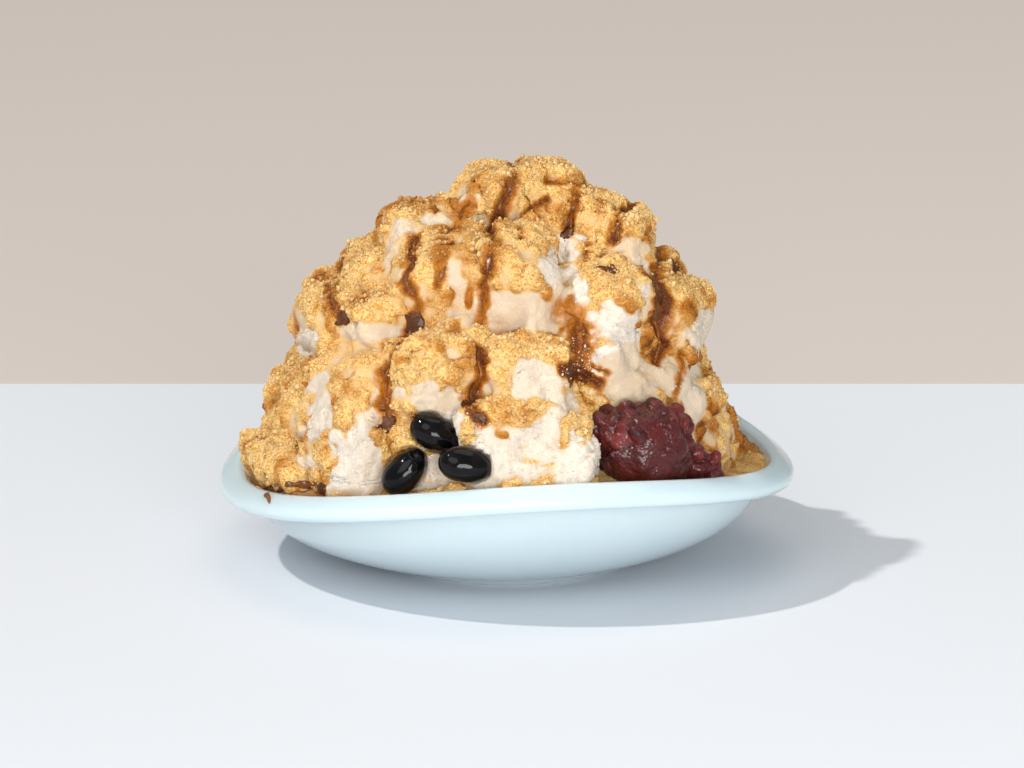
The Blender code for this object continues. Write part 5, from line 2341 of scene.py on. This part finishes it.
class Grade(NamedTuple):
    """One size of flour: its piece's name, how many crumbs it has, their smallest and largest half
    size, how rough they are and how fine their mesh is."""

    name: str
    amount: int
    smallest: float
    largest: float
    roughness: float
    fineness: int


class Crumb(Enum):
    """The sizes of the flour."""

    DUST = Grade("flour_dust", 24500, 0.00012, 0.00028, 0.30, 0)
    CRUMB = Grade("flour_crumbs", 9900, 0.00020, 0.00048, 0.36, 1)
    CLUMP = Grade("flour_clumps", 1500, 0.00040, 0.00095, 0.40, 2)


@dataclass
class Flour:
    """The loose soybean flour on the heap and in the dish."""

    seed: int = 101
    skin_shares: Span = (0.88, 0.12)
    rising: Ramp = Ramp(-0.2, 0.9)
    cluster_cell: float = 0.0042
    cluster_seed: int = 110
    clustered: Ramp = Ramp(-0.25, 0.5)
    fine_cluster_cell: float = 0.0018
    fine_cluster_seed: int = 113
    fine_clustered: Ramp = Ramp(-0.4, 0.3)
    fine_cluster_floor: float = 0.4
    cluster_floor: float = 0.15
    floury: Ramp = Ramp(0.50, 1.0)
    thick_flour: Ramp = Ramp(0.7, 1.0)
    soak_clears: float = 0.55
    steep_floor: float = 0.35
    above_dish: Ramp = Ramp(0.028, 0.036)
    size_power: float = 2.2
    flatness: Span = (0.65, 1.25)
    proud: Span = (0.0, 0.75)
    tone: Span = (0.55, 0.2)
    tone_noise: Noise = Noise(0.004, 115)
    tone_patches: float = 0.3
    soak_range: Span = (0.5, 1.1)

    def weight(self, skin: Skin, fineness: int) -> Array:
        """How likely a crumb is to lie at each vertex of a skin.

        Args:
            skin: The skin.
            fineness: How fine the crumb's mesh is, which tells its size.

        Returns:
            One weight for each vertex.
        """
        flour = skin.marks["flour"]
        rise = self.rising.at(skin_normals(skin.vertices, skin.faces)[:, 2])
        wide = Noise(self.cluster_cell, self.cluster_seed + fineness).at(skin.vertices)
        narrow = Noise(self.fine_cluster_cell, self.fine_cluster_seed + fineness).at(skin.vertices)
        low = self.fine_cluster_floor
        cluster = self.clustered.at(wide) * (low + (1.0 - low) * self.fine_clustered.at(narrow))
        low = self.cluster_floor
        weight = self.floury.at(flour) * (low + (1.0 - low) * cluster)
        weight *= 1.0 - self.soak_clears * skin.marks["soak"]
        if fineness < Crumb.CLUMP.value.fineness:
            weight *= self.steep_floor + (1.0 - self.steep_floor) * rise
        else:
            weight *= rise**2 * self.thick_flour.at(flour)
        return weight * self.above_dish.at(skin.vertices[:, 2]) + 1e-9

    def build(self, skins: Sequence[Skin], crumb: Crumb, material: Material) -> Piece:
        """Makes the flour of one size.

        Args:
            skins: The surfaces that it lies on, the heap and the bed.
            crumb: Which size.
            material: The flour.

        Returns:
            The piece.
        """
        grade = crumb.value
        draw = np.random.default_rng(self.seed + grade.fineness)
        form = octahedron() if grade.fineness == 0 else ball(grade.fineness)
        found = [
            skin.sample(int(grade.amount * share), self.weight(skin, grade.fineness), draw)
            for skin, share in zip(skins, self.skin_shares)
        ]
        places = np.concatenate([part[0] for part in found])
        clear = HeapForm.topping_distance(places) > grade.largest
        places = places[clear]
        normals = np.concatenate([part[1] for part in found])[clear]
        # Each crumb takes the soak of the skin below it, painted shade included.
        soak = np.concatenate([part[2]["soak"] for part in found])[clear]
        count = len(places)
        extra = (grade.largest - grade.smallest) * draw.uniform(0.0, 1.0, count) ** self.size_power
        size = grade.smallest + extra
        sizes = size[:, None] * draw.uniform(*self.flatness, (count, 3))
        places = places + normals * (size * draw.uniform(*self.proud, count))[:, None]
        turns = random_turns(draw, count)
        vertices, faces = scattered(form, places, sizes, turns, grade.roughness, draw)
        each = len(form[0])
        tone = draw.normal(*self.tone, count) + self.tone_patches * self.tone_noise.at(places)
        soak = soak * draw.uniform(*self.soak_range, count)
        marks = {
            "tone": np.repeat(np.clip(tone, 0.0, 1.0), each),
            "soak": np.repeat(np.clip(soak, 0.0, 1.0), each),
        }
        piece = mesh_piece(grade.name, vertices, faces, material, marks, smooth=grade.fineness > 0)
        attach(piece, BODY)
        return piece


@dataclass
class Flakes:
    """Loose flakes and grains of ice where the heap is bare."""

    count: int = 4200
    smallest: float = 0.00018
    largest: float = 0.00055
    size_power: float = 2.0
    sides: tuple[Span, Span, Span] = ((0.8, 1.2), (0.6, 1.0), (0.4, 0.8))
    proud: Span = (-0.5, 0.3)
    roughness: float = 0.30
    tones: Span = (0.3, 1.0)
    floury: Ramp = Ramp(0.25, 0.6)
    clean: Ramp = Ramp(0.3, 0.9)
    above_dish: Ramp = Ramp(0.028, 0.036)
    clustered: Ramp = Ramp(-0.2, 0.4)
    cluster_noise: Noise = Noise(0.005, 133)
    cluster_floor: float = 0.3
    seed: int = 131

    def build(self, skin: Skin, material: Material) -> Piece:
        """Makes the flakes.

        Args:
            skin: The heap's skin.
            material: The ice.

        Returns:
            The piece.
        """
        draw = np.random.default_rng(self.seed)
        weight = (1.0 - self.floury.at(skin.marks["flour"])) * self.clean.at(skin.marks["clean"])
        weight *= self.above_dish.at(skin.vertices[:, 2])
        cluster = self.clustered.at(self.cluster_noise.at(skin.vertices))
        weight *= self.cluster_floor + (1.0 - self.cluster_floor) * cluster
        places, normals, _ = skin.sample(self.count, weight + 1e-9, draw)
        extra = (self.largest - self.smallest) * draw.uniform(0.0, 1.0, self.count) ** self.size_power
        size = self.smallest + extra
        sizes = size[:, None] * np.stack([draw.uniform(*side, self.count) for side in self.sides], axis=1)
        places = places + normals * (size * draw.uniform(*self.proud, self.count))[:, None]
        form = ball(1)
        clear = HeapForm.topping_distance(places) > self.largest
        turns = random_turns(draw, self.count)[clear]
        vertices, faces = scattered(form, places[clear], sizes[clear], turns, self.roughness, draw)
        marks = {"tone": np.repeat(draw.uniform(*self.tones, len(turns)), len(form[0]))}
        piece = mesh_piece("ice_flakes", vertices, faces, material, marks)
        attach(piece, BODY)
        return piece


# ---- bean paste


@dataclass
class BeanPaste:
    """Sweet bean paste: soft lumps melted together with whole and split adzuki beans."""

    bean: Triple = (0.0042, 0.0030, 0.0027)
    bean_swell: Span = (0.50, 1.15)
    bean_unevenness: Span = (0.8, 1.2)
    bean_relief: float = 0.0007
    bean_noise: Noise = Noise(0.0028, 155)
    beans: int = 96
    extra_on_largest: int = 3
    lowest: float = -0.6
    azimuth_shift: float = 0.3
    tilt: float = 0.8
    sunk: Span = (0.80, 1.02)
    smooth_lumps: tuple[int, int] = (0, 3)
    smooth_towards: Triple = (0.25, -0.95, -0.15)
    smooth_width: float = 0.42
    smooth_edge: Span = (0.5, 1.0)
    lump_size: float = 0.95
    lump_swell: float = 0.07
    lump_cell: float = 0.55
    lump_fold: float = 0.06
    fold_cell: float = 0.30
    first_seed: int = 5
    voxel: float = 0.00042
    melting: int = 4
    skin_depth: float = 1.12
    seam_width: Ramp = Ramp(0.18, 0.0)
    seam_from: Ramp = Ramp(-0.3, 0.0)
    seam_depth: float = 0.00035
    # Painted shade in the seams where the beans meet the paste.
    seam_painted_shade: float = 0.8
    relief: float = 0.00016
    relief_noise: Noise = Noise(0.0016, 157)
    folds: float = 0.0003
    fold_noise: Noise = Noise(0.0034, 158)
    paste_tone: float = 0.25
    bean_tone: Span = (0.62, 0.25)
    tone_patches: float = 0.2
    tone_noise: Noise = Noise(0.003, 156)
    seed: int = 151

    def lump(self, place: Triple, size: Triple, seed: int) -> Mesh:
        """A soft lump with folds.

        Args:
            place: Its middle.
            size: Its half sizes.
            seed: Which lump it is.

        Returns:
            Its vertices and faces.
        """
        base, faces = ball(5)
        swell = self.lump_size + self.lump_swell * Noise(self.lump_cell, seed).at(base + 7.0)
        swell = swell + self.lump_fold * Noise(self.fold_cell, seed + 1).at(base + 3.0)
        return base * swell[:, None] * np.array(size) + np.array(place), faces

    def places(self, draw: Draw) -> tuple[Array, Array]:
        """Where the beans lie round the lumps.

        Args:
            draw: Where the random numbers come from.

        Returns:
            Their places and their rotation matrices.
        """
        smooth_way = np.array(self.smooth_towards) / np.linalg.norm(self.smooth_towards)
        places, turns = [], []
        for number in range(self.beans):
            lump = number % (len(PASTE_LUMPS) + self.extra_on_largest)
            lump = lump if lump < len(PASTE_LUMPS) else 0
            place, size = PASTE_LUMPS[lump]
            lift = draw.uniform(self.lowest, 1.0)
            azimuth = number * GOLDEN_ANGLE + draw.uniform(-self.azimuth_shift, self.azimuth_shift)
            level = math.sqrt(max(0.0, 1.0 - lift * lift))
            way = np.array((level * math.cos(azimuth), level * math.sin(azimuth), lift))
            if lump in self.smooth_lumps:
                width = self.smooth_width * draw.uniform(*self.smooth_edge)
                if way @ smooth_way > 1.0 - width:
                    continue
            spin = Matrix.Rotation(draw.uniform(0, math.pi), 3, "Z")
            lean = [draw.uniform(-self.tilt, self.tilt) for _ in range(2)]
            lie = Vector(way).to_track_quat("Z", "Y").to_matrix() @ spin
            places.append(np.array(place) + way * np.array(size) * draw.uniform(*self.sunk))
            turns.append(np.array(lie @ Euler((*lean, 0.0)).to_matrix()))
        return np.array(places), np.array(turns)

    def melted(self, vertices: Array, faces: Array) -> Mesh:
        """The outer skin of overlapping closed forms, melted together.

        Args:
            vertices: Their vertices.
            faces: Their faces.

        Returns:
            The skin's vertices and faces.
        """
        work = mesh_piece("melting", vertices, faces, bpy.data.materials.new("melting"))
        remesh = work.modifiers.new("skin", "REMESH")
        remesh.mode = "VOXEL"
        remesh.voxel_size = self.voxel
        work.modifiers.new("soften", "SMOOTH").iterations = self.melting
        mesh = bpy.data.meshes.new_from_object(work.evaluated_get(bpy.context.evaluated_depsgraph_get()))
        bpy.data.objects.remove(work)
        return arrays_out_of(mesh)

    def build(self, material: Material) -> Piece:
        """Makes the paste with its beans as one piece.

        Args:
            material: The paste.

        Returns:
            The piece, which stands for the paste's solid.
        """
        draw = np.random.default_rng(self.seed)
        lumps = [self.lump(*lump, self.first_seed + number) for number, lump in enumerate(PASTE_LUMPS)]
        places, turns = self.places(draw)
        count = len(places)
        swell = draw.uniform(*self.bean_swell, (count, 1))
        sizes = np.array(self.bean)[None] * swell * draw.uniform(*self.bean_unevenness, (count, 3))
        beans, bean_faces = scattered(ball(3), places, sizes, turns, 0.0, draw)
        bulges = self.bean_relief * self.bean_noise.at(beans)
        beans = beans + skin_normals(beans, bean_faces) * bulges[:, None]
        vertices, faces = self.melted(*joined([*lumps, (beans, bean_faces)]))
        proud = np.full(len(vertices), -1.0)
        tone = np.full(len(vertices), self.paste_tone)
        bean_tone = np.clip(draw.normal(*self.bean_tone, count), 0.1, 1.0)
        for place, turn, size, shade in zip(places, turns, sizes, bean_tone):
            depth = self.skin_depth - np.linalg.norm((vertices - place) @ turn / size, axis=1)
            tone = np.where((depth > proud) & (depth > 0.0), shade, tone)
            proud = np.maximum(proud, depth)
        seam = self.seam_width.at(np.abs(proud)) * self.seam_from.at(proud)
        lift = self.relief * self.relief_noise.at(vertices) + self.folds * self.fold_noise.at(vertices)
        lift -= self.seam_depth * seam
        vertices = vertices + skin_normals(vertices, faces) * lift[:, None]
        # Painted shade: the tone is darkened along the seams between the beans and the paste.
        tone = tone * (1.0 - self.seam_painted_shade * seam) + self.tone_patches * self.tone_noise.at(vertices)
        marks = {"tone": np.clip(tone, 0.0, 1.0)}
        piece = mesh_piece("bean_paste_and_beans", vertices, faces, material, marks)
        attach(piece, BODY)
        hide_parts("bean_paste")
        return piece


# ---- studio


class LightKind(Enum):
    """The kinds of light in the studio."""

    SUN = "SUN"
    SOFT = "AREA"


@dataclass(frozen=True)
class Lamp:
    """A light that points at the dish: where it stands, its strength, its size and its colour."""

    name: str
    kind: LightKind
    place: Triple
    strength: float
    size: float
    colour: Colour

    def build(self, target: Vector) -> None:
        """Sets up the light.

        Args:
            target: What it points at.
        """
        data = bpy.data.lights.new(self.name, self.kind.value)
        data.energy = self.strength
        data.color = self.colour
        if self.kind is LightKind.SOFT:
            data.shape = "DISK"
            data.size = self.size
        else:
            data.angle = self.size
        lamp = bpy.data.objects.new(self.name, data)
        lamp.location = self.place
        lamp.rotation_mode = "QUATERNION"
        lamp.rotation_quaternion = (Vector(self.place) - target).to_track_quat("Z", "Y")
        bpy.context.scene.collection.objects.link(lamp)


@dataclass
class Studio:
    """The plain floor and backdrop paper, the soft light and the camera."""

    floor_colour: Colour = (0.725, 0.738, 0.785)
    paper_colour: Colour = (0.640, 0.560, 0.520)
    paper_from: float = 0.241
    extent: float = 6.0
    sheet_rough: float = 0.75
    sheet_ior: float = 1.2
    cloud_scale: float = 3.0
    cloud_detail: float = 2.0
    cloud_darkness: float = 0.98
    air_colour: Colour = (0.94, 0.99, 0.97)
    air_strength: float = 0.38
    target: Triple = (0.0, 0.0, 0.06)
    lamps: tuple[Lamp, ...] = (
        Lamp("key", LightKind.SUN, (-0.77, -0.15, 1.06), 1.74, math.radians(2.2), (1.0, 0.975, 0.93)),
        Lamp("soft", LightKind.SOFT, (-0.7, -1.5, 1.3), 8.0, 1.3, (0.93, 0.97, 1.0)),
        Lamp("top", LightKind.SOFT, (0.3, 0.2, 1.7), 5.0, 1.3, (1.0, 0.98, 0.95)),
        Lamp("low", LightKind.SOFT, (0.25, -1.5, 0.16), 26.0, 0.9, (0.98, 1.0, 0.99)),
    )
    sensor_width: float = 36.0
    clip_end: float = 50.0

    def sheet(self, name: str, near: float, far: float, colour: Colour) -> None:
        """Lays a plain sheet on the studio's ground.

        Args:
            name: The sheet's name.
            near: Its front edge.
            far: Its back edge.
            colour: Its colour.
        """
        material, shading, shader = start_material(name)
        clouds = shading.noise(self.cloud_scale, self.cloud_detail)
        shade = shading.mix(clouds, colour, tuple(part * self.cloud_darkness for part in colour))
        shading.fill(shader, Base_Color=shade, Roughness=self.sheet_rough, IOR=self.sheet_ior)
        side = self.extent
        corners = np.array(((-side, near, 0), (side, near, 0), (side, far, 0), (-side, far, 0)))
        mesh_piece(name, corners, np.array([[0, 1, 2, 3]]), material)

    def camera(self) -> Piece:
        """Sets up the camera on the viewer's line of sight.

        Returns:
            The camera.
        """
        data = bpy.data.cameras.new("camera")
        data.lens = SIGHT.lens
        data.sensor_width = self.sensor_width
        data.clip_end = self.clip_end
        camera = bpy.data.objects.new("camera", data)
        camera.location = SIGHT.eye()
        camera.rotation_euler = (math.pi / 2 - SIGHT.pitch, 0.0, 0.0)
        bpy.context.scene.collection.objects.link(camera)
        return camera

    def build(self) -> None:
        """Makes the studio."""
        scene = bpy.context.scene
        scene.view_settings.view_transform = "Standard"
        self.sheet("floor", -self.extent, self.paper_from, self.floor_colour)
        self.sheet("backdrop", self.paper_from, self.extent, self.paper_colour)
        for lamp in self.lamps:
            lamp.build(Vector(self.target))
        world = bpy.data.worlds.new("studio_air")
        world.use_nodes = True
        air = world.node_tree.nodes["Background"]
        Shading(world.node_tree).fill(air, Color=self.air_colour, Strength=self.air_strength)
        scene.world = world
        scene.camera = self.camera()


# ---- the whole


def report(piece: Piece) -> None:
    """Logs a piece and its size."""
    log.info("%s: %d vertices, %d faces", piece.name, len(piece.data.vertices), len(piece.data.polygons))


def main() -> None:
    """Builds the studio and every piece of the bowl of kakigori."""
    logging.basicConfig(level=logging.INFO, format="%(message)s")
    Studio().build()
    groups = Groups()
    ice = IceFinish().build(groups)
    flour = FlourFinish().build(groups)
    dish = Dish()
    paths = SyrupPaths()
    glass, dish_skin = dish.build(MilkGlassFinish().build(groups))
    report(glass)
    heap, heap_skin, lines = Heap(HeapForm(dish), Dusting()).build(paths, ice)
    report(heap)
    bed, bed_skin = Bed(dish).build(ice)
    report(bed)
    skins = (heap_skin, bed_skin, dish_skin)
    report(SyrupFilm().build(skins, lines, paths, SyrupFinish().build(groups)))
    for crumb in Crumb:
        report(Flour().build((heap_skin, bed_skin), crumb, flour))
    report(Flakes().build(heap_skin, FlakeFinish().build(groups)))
    report(BeanPaste().build(PasteFinish().build(groups)))
    bean_skin = BeanSkinFinish().build(groups)
    for bean in BLACK_BEANS:
        report(bean.build(bean_skin))


if __name__ == "__main__":
    main()
